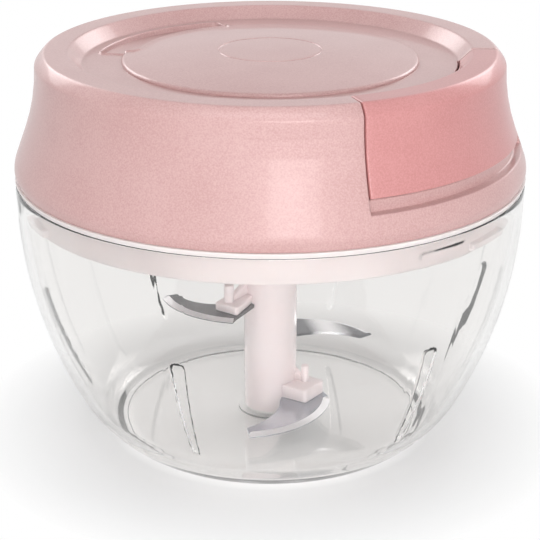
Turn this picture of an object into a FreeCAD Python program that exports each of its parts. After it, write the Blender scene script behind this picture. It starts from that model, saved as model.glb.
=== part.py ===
import FreeCAD, Part
import math
import os
import Sketcher

# Pull-string food chopper: a clear bowl with a three-blade column on a steel pin, closed by a lid that
# holds a sprung cord drum. A handle that is a sector of the lid's rim draws the cord and spins the
# blades. Millimetres, +Z up, origin at the centre of the bowl's foot on the table. Azimuths are
# measured from +X, counter-clockwise from above.

os.makedirs("parts", exist_ok=True)
doc = FreeCAD.newDocument("FoodChopper")
sheet = doc.addObject("Spreadsheet::Sheet", "Sizes")

SIZES = {
    # clear bowl
    "bowl_radius": 65,
    "bowl_wall": 2.2,
    "bowl_floor": 2.4,
    "bowl_widest_height": 66.0,
    "bowl_rim_rise": 3.0,
    "bowl_bulge_radius": 113,
    "bowl_heel_radius": 35,
    "bowl_heel_height": 12,
    "foot_recess": 0.4,
    "foot_ring_width": 1.3,
    "boss_radius": 8.6,
    "boss_height": 0.35,
    "rib_count": 6,
    "rib_azimuth": -51,
    "rib_width": 2.4,
    "rib_rise": 2.0,
    "rib_low": 11.5,
    "rib_high": 40.5,
    # bayonet lugs
    "lug_count": 3,
    "lug_azimuth": -35,
    "lug_half_angle": 6.5,
    "lug_rise": 1.3,
    "lug_gap": 0.3,
    "skirt_lug_rise": 0.7,
    "skirt_lug_thick": 1.9,
    "bowl_lug_thick": 1.5,
    "lock_turn": 16,
    # pivot and blade column
    "pin_radius": 2.0,
    "pin_top": 15,
    "pin_depth": 1.0,
    "washer_radius": 6.4,
    "washer_thick": 0.6,
    "running_gap": 0.05,
    "bush_wall": 2.2,
    "bush_length": 10.5,
    "column_radius": 7.05,
    "column_gap": 1.1,
    "column_core_thick": 4,
    "socket_gap": 2,
    "socket_clearance": 0.2,
    "column_lip": 0.6,
    # holders that carry the blades
    "post_rise": 4.8,
    "web_thick": 1.5,
    "web_low_rise": 0.9,
    "web_high_rise": 4.4,
    "lower_blade_height": 8.0,
    "lower_blade_azimuth": -100.5,
    "lower_arm_swing": 63.6,
    "lower_arm_thick": 3.6,
    "lower_arm_reach": 13.6,
    "lower_arm_right": 2.6,
    "lower_arm_left": 6.0,
    "lower_arm_root_right": 3.4,
    "lower_arm_root_left": 6.2,
    "lower_post_radius": 1.0,
    "lower_post_reach": 9.7,
    "lower_post_side": 2.6,
    "middle_blade_height": 21.0,
    "middle_blade_azimuth": 14.5,
    "middle_arm_swing": 63.6,
    "middle_arm_thick": 2.4,
    "middle_arm_reach": 13.6,
    "middle_arm_right": 3.0,
    "middle_arm_left": 5.0,
    "middle_arm_root_right": 4.2,
    "middle_arm_root_left": 6.2,
    "middle_post_radius": 1.2,
    "middle_post_reach": 10.4,
    "middle_post_side": 1.4,
    "upper_blade_height": 34.5,
    "upper_blade_azimuth": -180,
    "upper_arm_swing": 53.7,
    "upper_arm_thick": 2.2,
    "upper_arm_reach": 16.2,
    "upper_arm_right": 6.1,
    "upper_arm_left": 1.3,
    "upper_arm_root_right": 6.3,
    "upper_arm_root_left": 5.4,
    "upper_post_radius": 1.3,
    "upper_post_reach": 13.6,
    "upper_post_side": -3.3,
    # sickle blade, drawn with its tip on the sketch's first axis
    "blade_thick": 0.8,
    "blade_reach": 28.6,
    "blade_back_radius": 24,
    "blade_root_radius": 5.2,
    "blade_root_half": 3.2,
    "blade_edge_start": 8.0,
    "blade_tip_along": 24.8,
    "blade_tip_drop": 1.46,
    "bevel_width": 1.8,
    "bevel_depth": 0.55,
    "lower_heel_along": 3.4,
    "lower_heel_out": 16.85,
    "lower_foot_along": 0.3,
    "lower_foot_out": 14.5,
    "lower_neck_out": 12.1,
    "lower_edge_radius": 18.5,
    "middle_heel_along": 3.4,
    "middle_heel_out": 16.85,
    "middle_foot_along": 0.3,
    "middle_foot_out": 14.5,
    "middle_neck_out": 12.1,
    "middle_edge_radius": 18.5,
    "upper_heel_along": 9.6,
    "upper_heel_out": 16.8,
    "upper_foot_along": 8.7,
    "upper_foot_out": 14.5,
    "upper_neck_out": 5.9,
    "upper_edge_radius": 12,
    # top cover, from its rim up to the crown
    "seal_thick": 1.3,
    "cover_bottom_inset": 0.5,
    "cover_overhang": 0.1,
    "cover_widest_rise": 2.1,
    "flare_low_rise": 2.8,
    "flare_rise": 7,
    "cover_flare_angle": 20.4,
    "shoulder_drop": 2.8,
    "cover_shoulder_draft": 0.5,
    "crown_round": 12,
    "crown_inset": 8.4,
    "crown_width": 6.1,
    "moat_slope_run": 3.3,
    "moat_depth": 3.2,
    "bead_radius": 0.9,
    "moat_width": 10.7,
    "disc_crown_drop": 0.4,
    "disc_groove_radius": 12.9,
    "disc_groove_width": 0.5,
    "disc_groove_depth": 0.25,
    "cover_wall": 2.2,
    "roof_gap": 3.8,
    "roof_thick": 4.5,
    "roof_inset": 2.1,
    "cover_seat_rise": 3,
    "thumb_inset": 2.3,
    "thumb_width": 9.6,
    "thumb_depth": 0.9,
    "thumb_azimuth": 141,
    "thumb_half_angle": 31.5,
    # pull handle and its pocket
    "handle_azimuth": -35.75,
    "handle_half_angle": 33.25,
    "seam_angle": 0.3,
    "pocket_inset": 0.3,
    "pocket_floor_rise": 8.4,
    "pocket_wall": 2.0,
    "finger_gap": 3.5,
    "sill_inset": 3.6,
    "sill_wall": 1.8,
    "sill_gap": 0.5,
    "handle_wall": 2.4,
    "handle_side_angle": 2.6,
    "handle_plate_thick": 1.9,
    "handle_plate_drop": 5.3,
    "handle_screw_swing": 24,
    "handle_screw_drop": 9.2,
    "handle_screw_radius": 1.1,
    "handle_screw_head": 2.1,
    "handle_screw_head_thick": 1.1,
    "handle_screw_length": 6,
    "handle_pilot_spare": 2,
    "handle_post_radius": 2.6,
    # seal and inner lid
    "seal_fit": 0.2,
    "seal_inset": 0.8,
    "seal_gap": 0.03,
    "skirt_gap": 1.5,
    "skirt_wall": 2.0,
    "skirt_under": 4.1,
    "skirt_over": 2.5,
    "plate_drop": 3,
    "plate_thick": 2.0,
    "collar_radius": 13.4,
    "collar_under": 5.4,
    "collar_over": 2,
    "bearing_radius": 9.5,
    "bearing_wall": 1.9,
    "bearing_flange_radius": 13.2,
    "bearing_flange_thick": 1.2,
    "tower_inset": 5.4,
    "tower_azimuth": 9,
    "tower_count": 4,
    "tower_radius": 3.2,
    "lid_screw_radius": 1.4,
    "lid_screw_head": 2.9,
    "lid_screw_head_thick": 1.8,
    "lid_screw_reach": 12,
    # cord drum with its spring
    "spindle_radius": 4.6,
    "spindle_drop": 3.9,
    "spindle_shoulder_radius": 6.4,
    "shoulder_gap": 0.8,
    "drum_floor_rise": 9.4,
    "drum_floor_thick": 1.6,
    "drum_radius": 20,
    "drum_wall": 1.8,
    "drum_groove": 12,
    "flange_radius": 27,
    "hub_web_gap": 0.1,
    "hub_bore": 7.5,
    "hub_under": 0.6,
    "spring_lid_thick": 1.4,
    "spring_lid_bore": 5.6,
    "spring_thick": 0.5,
    "spring_low_gap": 0.6,
    "spring_high_gap": 0.8,
    "spring_turns": 6,
    "spring_pitch": 1.9,
    "spring_inner_radius": 5.6,
    "spring_bend": 0.8,
    "spring_tail": 2.2,
    "slot_width": 0.9,
    "retainer_radius": 6.9,
    "retainer_thick": 0.8,
    "spindle_screw_radius": 1.3,
    "spindle_screw_head": 3.0,
    "spindle_screw_head_thick": 2.0,
    "spindle_screw_reach": 5.2,
    # pull cord
    "cord_diameter": 1.8,
    "cord_pitch": 2.35,
    "cord_turns": 3.75,
    "cord_start_rise": 1.3,
    "cord_bend_radius": 4.5,
    "cord_bend_inset": 3.9,
    "eyelet_rim": 2.6,
    "eyelet_rim_thick": 0.5,
    "eyelet_wall": 0.6,
    "cord_slack": 0.15,
    "knot_radius": 1.9,
    "knot_width": 3.0,
    # drive coupling below the drum
    "coupler_gap": 1.3,
    "coupler_flange_radius": 9.3,
    "coupler_flange_thick": 1.3,
    "shaft_radius": 4.6,
    "shaft_reach": 11.6,
    "shaft_tip_chamfer": 1.0,
    "drive_pin_radius": 1.2,
    "drive_pin_drop": 4.4,
    "drive_pin_half_length": 6.8,
    "drive_slot_gap": 0.3,
    "drive_slot_lead": 17,
    "hub_pin_radius": 1.0,
    "hub_pin_rise": 5.5,
}


class Dim:
    """A size together with the sheet formula that gives it, so that numbers and bindings agree."""

    def __init__(self, value, text):
        self.value = float(value)
        self.text = text

    def __add__(self, other):
        other = dim(other)
        return Dim(self.value + other.value, "(%s + %s)" % (self.text, other.text))

    def __sub__(self, other):
        other = dim(other)
        return Dim(self.value - other.value, "(%s - %s)" % (self.text, other.text))

    def __mul__(self, other):
        other = dim(other)
        return Dim(self.value * other.value, "(%s * %s)" % (self.text, other.text))

    def __truediv__(self, other):
        other = dim(other)
        return Dim(self.value / other.value, "(%s / %s)" % (self.text, other.text))

    def __rsub__(self, other):
        return dim(other) - self

    def __neg__(self):
        return Dim(-self.value, "(0 - %s)" % self.text)

    __radd__ = __add__
    __rmul__ = __mul__


def dim(number):
    """A bare number as a Dim."""
    return number if isinstance(number, Dim) else Dim(number, "%g" % number)


def root(size):
    return Dim(math.sqrt(size.value), "sqrt(%s)" % size.text)


def sine(angle):
    return Dim(math.sin(math.radians(angle.value)), "sin(%s)" % angle.text)


def cosine(angle):
    return Dim(math.cos(math.radians(angle.value)), "cos(%s)" % angle.text)


def tangent(angle):
    return sine(angle) / cosine(angle)


for row, (alias, number) in enumerate(SIZES.items(), 1):
    sheet.set("A%d" % row, alias)
    sheet.set("B%d" % row, "%g" % number)
    sheet.setAlias("B%d" % row, alias)
doc.recompute()


def size(alias):
    """A driving dimension, read back from the sheet."""
    return Dim(getattr(sheet, alias), "Sizes." + alias)


def bind(thing, prop, amount):
    thing.setExpression(prop, dim(amount).text)


# Levels and radii that follow from the sizes, so that the pieces keep their seats on one another

def rim():
    """Top of the bowl."""
    return size("bowl_widest_height") + size("bowl_rim_rise")


def skirt_radius():
    return size("bowl_radius") - size("bowl_wall") - size("skirt_gap")


def plate_low():
    return rim() - size("plate_drop")


def skirt_bottom():
    return plate_low() - size("skirt_under")


def skirt_lug_low():
    return skirt_bottom() + size("skirt_lug_rise")


def collar_bottom():
    return plate_low() - size("collar_under")


def collar_top():
    return plate_low() + size("plate_thick") + size("collar_over")


def cover_bottom():
    """Lower edge of the lid, on the seal."""
    return rim() + size("seal_thick")


def drum_floor():
    return rim() + size("drum_floor_rise")


def drum_top():
    """Upper face of the cover over the spring."""
    return drum_floor() + size("drum_floor_thick") + size("drum_groove") + size("spring_lid_thick")


def spindle_bottom():
    return drum_floor() - size("spindle_drop")


def spring_low():
    return drum_floor() + size("drum_floor_thick") + size("spring_low_gap")


def spring_high():
    return drum_top() - size("spring_lid_thick") - size("spring_high_gap")


def cord_start():
    return drum_floor() + size("drum_floor_thick") + size("cord_start_rise")


def hub_bottom():
    return collar_bottom() - size("hub_under")


def coupler_top():
    """Under the head of the screw that holds the drum."""
    washer = spindle_bottom() - size("retainer_thick")
    return washer - size("spindle_screw_head_thick") - size("coupler_gap")


def column_top():
    return hub_bottom() - size("coupler_flange_thick") - size("column_gap")


def shaft_bottom():
    return column_top() - size("shaft_reach")


def socket_floor():
    return shaft_bottom() - size("socket_gap")


def column_core_top():
    return socket_floor() - size("column_core_thick")


def drive_pin_height():
    return column_top() - size("drive_pin_drop")


def drive_slot_floor():
    return drive_pin_height() - size("drive_pin_radius") - size("drive_slot_gap")


def roof():
    """Underside of the lid over the drum."""
    return drum_top() + size("roof_gap")


def crown_top():
    return roof() + size("roof_thick")


def moat_floor():
    return crown_top() - size("moat_depth")


def disc_edge():
    return moat_floor() + size("bead_radius")


def disc_crown():
    return crown_top() - size("disc_crown_drop")


def crown_radius():
    """Outer edge of the crown's flat."""
    return size("bowl_radius") - size("crown_inset")


def crown_bore():
    """Inner edge of the crown's flat."""
    return crown_radius() - size("crown_width")


def moat_radius():
    return crown_bore() - size("moat_slope_run")


def disc_radius():
    return moat_radius() - size("moat_width")


def roof_radius():
    return disc_radius() - size("roof_inset")


def thumb_radius():
    return disc_radius() - size("thumb_inset")


def pocket_radius():
    return moat_radius() - size("pocket_inset")


def pocket_floor():
    return rim() + size("pocket_floor_rise")


def tower_circle():
    return pocket_radius() - size("pocket_wall") - size("tower_inset")


def cord_corner():
    """Radius at which the cord turns to run straight out."""
    return pocket_radius() - size("cord_bend_inset")


# Sketches: a corner is (x, y) and an edge to the next corner is straight, or (x, y, radius, side) and
# an arc with its centre on the left (side 1) or on the right (side -1) of the way to the next corner.

def place_sketch(body, name, plane, height=None, swing=None, centre=None):
    """A sketch on the level or the upright plane, swung round the vertical line through a plan point."""
    sketch = body.newObject("Sketcher::SketchObject", name)
    support = [feature for feature in body.Origin.OriginFeatures if feature.Role == plane][0]
    sketch.AttachmentSupport = [(support, "")]
    sketch.MapMode = "FlatFace"
    turn = FreeCAD.Vector(0, 0, 1) if plane == "XY_Plane" else FreeCAD.Vector(0, 1, 0)
    if swing is not None:
        sketch.AttachmentOffset = FreeCAD.Placement(FreeCAD.Vector(), FreeCAD.Rotation(turn, swing.value))
        bind(sketch, "AttachmentOffset.Rotation.Angle", swing)
    if height is not None:
        bind(sketch, "AttachmentOffset.Base.z", height)
    if centre is not None:
        bind(sketch, "AttachmentOffset.Base.x", centre[0])
        bind(sketch, "AttachmentOffset.Base.z", -centre[1])
    return sketch


def pin_point(sketch, edge, end, x, y):
    """Fix one end of an edge at sizes measured from the sketch's origin."""
    for kind, axis, amount in (("DistanceX", -2, x), ("DistanceY", -1, y)):
        amount = dim(amount)
        if amount.text == "0":
            sketch.addConstraint(Sketcher.Constraint("PointOnObject", edge, end, axis))
        else:
            index = sketch.addConstraint(
                Sketcher.Constraint(kind, -1, 1, edge, end, amount.value))
            bind(sketch, "Constraints[%d]" % index, amount)


def draw(sketch, corners):
    """Draw a closed outline and bind every corner and radius to the sheet."""
    count = len(corners)
    first = sketch.GeometryCount
    ends = []
    for here, corner in enumerate(corners):
        start = FreeCAD.Vector(dim(corner[0]).value, dim(corner[1]).value, 0)
        target = corners[(here + 1) % count]
        stop = FreeCAD.Vector(dim(target[0]).value, dim(target[1]).value, 0)
        if len(corner) == 2:
            sketch.addGeometry(Part.LineSegment(start, stop))
            ends.append((1, 2))
            continue
        radius, side = dim(corner[2]), corner[3]
        chord = stop - start
        rise = math.sqrt(radius.value ** 2 - (chord.Length / 2) ** 2)
        left = FreeCAD.Vector(-chord.y, chord.x, 0).normalize()
        centre = (start + stop) * 0.5 + left * (rise * side)
        from_point, to_point = (start, stop) if side > 0 else (stop, start)
        angles = [math.atan2(p.y - centre.y, p.x - centre.x) for p in (from_point, to_point)]
        circle = Part.Circle(centre, FreeCAD.Vector(0, 0, 1), radius.value)
        sketch.addGeometry(Part.ArcOfCircle(circle, angles[0], angles[1]))
        ends.append((1, 2) if side > 0 else (2, 1))
    for here, corner in enumerate(corners):
        before = (here - 1) % count
        sketch.addConstraint(Sketcher.Constraint(
            "Coincident", first + before, ends[before][1], first + here, ends[here][0]))
        pin_point(sketch, first + here, ends[here][0], corner[0], corner[1])
        if len(corner) > 2:
            index = sketch.addConstraint(
                Sketcher.Constraint("Radius", first + here, dim(corner[2]).value))
            bind(sketch, "Constraints[%d]" % index, corner[2])


def draw_circle(sketch, x, y, radius):
    centre = FreeCAD.Vector(dim(x).value, dim(y).value, 0)
    edge = sketch.addGeometry(Part.Circle(centre, FreeCAD.Vector(0, 0, 1), dim(radius).value))
    pin_point(sketch, edge, 3, x, y)
    index = sketch.addConstraint(Sketcher.Constraint("Radius", edge, dim(radius).value))
    bind(sketch, "Constraints[%d]" % index, radius)


def sector(inner, outer, half_angle):
    """Outline of a ring's sector that is symmetric about the sketch's first axis."""
    return [
        (inner * cosine(half_angle), -(inner * sine(half_angle))),
        (outer * cosine(half_angle), -(outer * sine(half_angle)), outer, 1),
        (outer * cosine(half_angle), outer * sine(half_angle)),
        (inner * cosine(half_angle), inner * sine(half_angle), inner, -1),
    ]


# Features

def new_body(name):
    body = doc.addObject("PartDesign::Body", name)
    body.Label = name
    return body


def feature(body, kind, name, sketch):
    made = body.newObject("PartDesign::" + kind, name)
    made.Profile = sketch
    sketch.Visibility = False
    return made


def revolve(body, corners, name="Turn", kind="Revolution", angle=None, swing=None, centre=None):
    """Turn an outline in the upright plane about an upright line, or groove with it."""
    sketch = place_sketch(body, name + "Outline", "XZ_Plane", swing=swing, centre=centre)
    draw(sketch, corners)
    turned = feature(body, kind, name, sketch)
    turned.ReferenceAxis = (sketch, ["V_Axis"])
    if angle is None:
        turned.Angle = TURN
    else:
        turned.Midplane = True
        bind(turned, "Angle", angle)
    return turned


def extrude(body, kind, name, height, length, corners=None, circles=(), swing=None, down=False):
    """Pad or pocket a level outline upwards (or downwards) from a height."""
    sketch = place_sketch(body, name + "Outline", "XY_Plane", height, swing)
    if corners is not None:
        draw(sketch, corners)
    for circle in circles:
        draw_circle(sketch, *circle)
    made = feature(body, kind, name, sketch)
    bind(made, "Length", length)
    made.Reversed = down if kind == "Pad" else not down
    return made


def pattern(body, original, count):
    """Repeat a feature round the vertical axis."""
    made = body.newObject("PartDesign::PolarPattern", original.Name + "Ring")
    made.Originals = [original]
    axis = [item for item in body.Origin.OriginFeatures if item.Role == "Z_Axis"][0]
    made.Axis = (axis, [""])
    made.Angle = TURN
    bind(made, "Occurrences", count)
    body.Tip = made
    return made


def turned_piece(name, corners):
    body = new_body(name)
    revolve(body, corners)
    return body


def tube(inner, outer, low, high):
    """Section of a plain ring."""
    return [(inner, low), (outer, low), (outer, high), (inner, high)]


def rod(radius, low, high):
    """Section of a plain round bar on the axis."""
    return [(0, low), (radius, low), (radius, high), (0, high)]


def cylinder(name, radius, length, base, direction):
    """A round bar from a base point along a direction, both worked out from the sheet."""
    made = doc.addObject("Part::Cylinder", name)
    bind(made, "Radius", radius)
    bind(made, "Height", length)
    way = FreeCAD.Vector(*[dim(part).value for part in direction])
    turn = FreeCAD.Rotation(FreeCAD.Vector(0, 0, 1), way)
    spot = FreeCAD.Vector(*[dim(part).value for part in base])
    made.Placement = FreeCAD.Placement(spot, turn)
    for letter, part in zip("xyz", base):
        bind(made, "Placement.Base." + letter, part)
    return made


def join(name, pieces):
    made = doc.addObject("Part::MultiFuse", name)
    made.Shapes = pieces
    made.Label = name
    return made


def cut(name, base, tool):
    made = doc.addObject("Part::Cut", name)
    made.Base = base
    made.Tool = tool
    made.Label = name
    return made


def group(name, pieces):
    """Separate solids that share one sub-part."""
    made = doc.addObject("Part::Compound", name)
    made.Links = pieces
    made.Label = name
    return made


# Bowl profile, shared by the wall, the ribs and the lugs

def bowl_arcs(inset):
    """Corners of the bowl's side at a depth below its outer face, from the widest height down."""
    bulge = size("bowl_bulge_radius")
    heel = size("bowl_heel_radius")
    widest = size("bowl_widest_height")
    heel_height = size("bowl_heel_height")
    bulge_x = size("bowl_radius") - bulge
    drop = widest - heel_height
    join_x = bulge_x + root(bulge * bulge - drop * drop)
    heel_x = join_x - (join_x - bulge_x) * heel / bulge
    heel_z = heel_height + drop * heel / bulge
    joint = (heel_x + (join_x - heel_x) * (heel - inset) / heel,
             heel_z - (heel_z - heel_height) * (heel - inset) / heel)
    return {"bulge": bulge - inset, "heel": heel - inset, "bulge_x": bulge_x, "heel_x": heel_x,
            "heel_z": heel_z, "joint": joint, "widest": (bulge_x + bulge - inset, widest)}


def bulge_at(arcs, height):
    """Radius of the upper arc at a height."""
    rise = size("bowl_widest_height") - height
    return arcs["bulge_x"] + root(arcs["bulge"] * arcs["bulge"] - rise * rise)


def heel_at(arcs, height):
    """Radius of the heel arc at a height."""
    rise = arcs["heel_z"] - height
    return arcs["heel_x"] + root(arcs["heel"] * arcs["heel"] - rise * rise)


def boss_top():
    return size("foot_recess") + size("bowl_floor") + size("boss_height")


def washer_top():
    return boss_top() + size("washer_thick")


def make_bowl():
    body = new_body("bowl")
    outer = bowl_arcs(dim(0))
    inner = bowl_arcs(size("bowl_wall"))
    floor = size("bowl_floor") + size("foot_recess")
    foot = heel_at(outer, dim(0))
    recess = foot - size("foot_ring_width")
    revolve(body, [
        (0, size("foot_recess")),
        (recess, size("foot_recess")),
        (recess, 0),
        (foot, 0, outer["heel"], 1),
        (outer["joint"][0], outer["joint"][1], outer["bulge"], 1),
        outer["widest"],
        (size("bowl_radius"), rim()),
        (inner["widest"][0], rim()),
        (inner["widest"][0], inner["widest"][1], inner["bulge"], -1),
        (inner["joint"][0], inner["joint"][1], inner["heel"], -1),
        (heel_at(inner, floor), floor),
        (size("boss_radius"), floor),
        (size("boss_radius"), boss_top()),
        (size("pin_radius"), boss_top()),
        (size("pin_radius"), size("pin_depth")),
        (0, size("pin_depth")),
    ])
    # upright fins on the inside wall, rounded at both ends
    seat = bowl_arcs(size("bowl_wall") * 0.5)
    crest = bowl_arcs(size("bowl_wall") + size("rib_rise"))
    low, high = size("rib_low"), size("rib_high")
    shoulder = size("rib_rise")
    sketch = place_sketch(body, "RibOutline", "XZ_Plane", swing=size("rib_azimuth"))
    draw(sketch, [
        (bulge_at(seat, low), low, seat["bulge"], 1),
        (bulge_at(seat, high), high),
        (bulge_at(inner, high), high),
        (bulge_at(crest, high - shoulder), high - shoulder, crest["bulge"], -1),
        (bulge_at(crest, low + shoulder), low + shoulder),
        (bulge_at(inner, low), low),
    ])
    rib = feature(body, "Pad", "Rib", sketch)
    rib.Midplane = True
    bind(rib, "Length", size("rib_width"))
    pattern(body, rib, size("rib_count"))
    # bayonet lugs under the rim that hold the lid down once it is turned
    lug_low = skirt_lug_low() + size("skirt_lug_thick") + size("lug_gap")
    lug = extrude(
        body, "Pad", "Lug", lug_low, size("bowl_lug_thick"),
        sector(inner["widest"][0] - size("lug_rise"), inner["widest"][0] + size("bowl_wall") * 0.5,
               size("lug_half_angle")),
        swing=size("lug_azimuth") - size("lock_turn"))
    pattern(body, lug, size("lug_count"))
    pin = turned_piece("pivot_pin", [
        (0, size("pin_depth")),
        (size("pin_radius"), size("pin_depth")),
        (size("pin_radius"), size("pin_top") - size("pin_radius"), size("pin_radius"), 1),
        (0, size("pin_top")),
    ])
    return [body, pin]


def make_pivot():
    """Washer and bush that the blade column turns on."""
    bore = size("pin_radius") + size("running_gap")
    washer = turned_piece("thrust_washer", tube(bore, size("washer_radius"), boss_top(), washer_top()))
    bush = turned_piece("pivot_bush", tube(
        bore, bore + size("bush_wall"), washer_top(), washer_top() + size("bush_length")))
    return [washer, bush]


BLADES = ("lower", "middle", "upper")
TURN = 360


def rotated(x, y, angle):
    """A point of the plan turned about the vertical axis."""
    return (x * cosine(angle) - y * sine(angle), x * sine(angle) + y * cosine(angle))


def make_column(blades):
    """Tube with three arms over the blades, each with its pin and web, and slots for the drive pin."""
    body = new_body("column_blank")
    bush_radius = size("pin_radius") + size("running_gap") + size("bush_wall") + size("running_gap")
    outer = size("column_radius")
    socket = size("shaft_radius") + size("socket_clearance")
    lip = size("column_lip")
    base = washer_top() + size("running_gap")
    revolve(body, [
        (bush_radius, base),
        (outer - lip, base),
        (outer, base + lip),
        (outer, column_top() - lip),
        (outer - lip, column_top()),
        (socket, column_top()),
        (socket, socket_floor()),
        (0, socket_floor()),
        (0, column_core_top()),
        (bush_radius, column_core_top()),
    ])
    for level in BLADES:
        height = size(level + "_blade_height")
        thick = size(level + "_arm_thick")
        swing = size(level + "_blade_azimuth") + size(level + "_arm_swing")
        reach = size(level + "_arm_reach")
        inside = bush_radius + size("running_gap")
        extrude(body, "Pad", level.capitalize() + "Arm", height, thick, [
            (inside, -size(level + "_arm_root_right")),
            (reach, -size(level + "_arm_right")),
            (reach, size(level + "_arm_left")),
            (inside, size(level + "_arm_root_left")),
        ], swing=swing)
        post = (size(level + "_post_reach"), size(level + "_post_side"))
        extrude(body, "Pad", level.capitalize() + "Post", height + thick, size("post_rise"),
                circles=[(post[0], post[1], size(level + "_post_radius"))], swing=swing)
        web = place_sketch(body, level.capitalize() + "WebOutline", "XZ_Plane", swing=swing,
                           centre=rotated(dim(0), post[1], swing))
        top = height + thick
        draw(web, [
            (inside, top - 0.5),
            (post[0], top - 0.5),
            (post[0], top + size("web_low_rise")),
            (inside, top + size("web_high_rise")),
        ])
        rib = feature(body, "Pad", level.capitalize() + "Web", web)
        rib.Midplane = True
        bind(rib, "Length", size("web_thick"))
    doc.recompute()
    core = turned_piece("column_bore", rod(bush_radius, base, column_core_top()))
    well = turned_piece("column_socket", rod(socket, socket_floor(), column_top()))
    slots = new_body("drive_slots")
    lead = (size("lock_turn") + size("drive_slot_lead") * 2) / 2
    slot = extrude(
        slots, "Pad", "Slot", drive_slot_floor(), column_top(),
        sector(socket - 1, outer + 1, lead), swing=-(size("lock_turn") / 2))
    pattern(slots, slot, dim(2))
    return cut("blade_column", body, join("column_voids", [core, well, slots] + blades))


def make_blades():
    """Three sickle blades with a ground bevel along the outer edge and a root moulded into the column."""
    blades = []
    for level in BLADES:
        body = new_body(level + "_blade")
        top, swing = size(level + "_blade_height"), size(level + "_blade_azimuth")
        half = size("blade_root_half")
        root_y = root(size("blade_root_radius") * size("blade_root_radius") - half * half)
        back = size("blade_back_radius")
        tip = (size("blade_reach"), dim(0))
        heel = (size(level + "_heel_along"), size(level + "_heel_out"))
        extrude(body, "Pad", "Sheet", top, size("blade_thick"), [
            (tip[0], tip[1], back, 1),
            heel,
            (size(level + "_foot_along"), size(level + "_foot_out")),
            (-half, size(level + "_neck_out")),
            (-half, root_y, size("blade_root_radius"), -1),
            (half, root_y),
            (size("blade_edge_start"), root_y, size(level + "_edge_radius"), -1),
            (size("blade_tip_along"), -size("blade_tip_drop")),
        ], swing=swing, down=True)
        # the bevel is turned about the centre of the outer edge
        run, rise = heel[0] - tip[0], heel[1] - tip[1]
        chord = root(run * run + rise * rise)
        depth = root(back * back - chord * chord / 4)
        centre = ((tip[0] + heel[0]) / 2 - rise * depth / chord,
                  (tip[1] + heel[1]) / 2 + run * depth / chord)
        revolve(body, [
            (back - size("bevel_width"), top),
            (back + 1, top - size("bevel_depth") * (size("bevel_width") + 1) / size("bevel_width")),
            (back + 1, top),
        ], "Bevel", "Groove", centre=rotated(centre[0], centre[1], swing))
        blades.append(body)
    return blades


# Lid: the outer cover with the pocket for the handle, and the inner lid under it

def flare(inset):
    """Corners of the cover's side from its widest height up to its shoulder, below its face."""
    slope, draft = size("cover_flare_angle"), size("cover_shoulder_draft")
    widest = size("bowl_radius") + size("cover_overhang")
    widest_z = cover_bottom() + size("cover_widest_rise")
    low = widest_z + size("flare_low_rise")
    high = low + size("flare_rise")
    shoulder_z = crown_top() - size("shoulder_drop")
    round_low = (low - widest_z) / sine(slope)
    low_r = widest - round_low * (1 - cosine(slope))
    high_r = low_r - (high - low) * tangent(slope)
    round_high = (shoulder_z - high) / (sine(slope) - sine(draft))
    shoulder_r = high_r - round_high * (cosine(draft) - cosine(slope))
    across, up = inset * cosine(slope), inset * sine(slope)
    return {
        "round_low": round_low - inset,
        "round_high": round_high + inset,
        "widest": (widest - inset, widest_z),
        "low": (low_r - across, low - up),
        "high": (high_r - across, high - up),
        "shoulder": (shoulder_r - inset * cosine(draft), shoulder_z - inset * sine(draft)),
    }


def on_slope(side, height):
    """Point of the straight part of the side at a height."""
    return (side["low"][0] - (height - side["low"][1]) * tangent(size("cover_flare_angle")), height)


def dome_radius():
    rise = disc_crown() - disc_edge()
    edge = disc_radius()
    return (edge * edge + rise * rise) / (2 * rise)


def radial(radius, swing):
    """Plan point at a radius and an azimuth."""
    return (radius * cosine(swing), radius * sine(swing))


def cord_height():
    return cord_start() + size("cord_pitch") * size("cord_turns")


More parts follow.
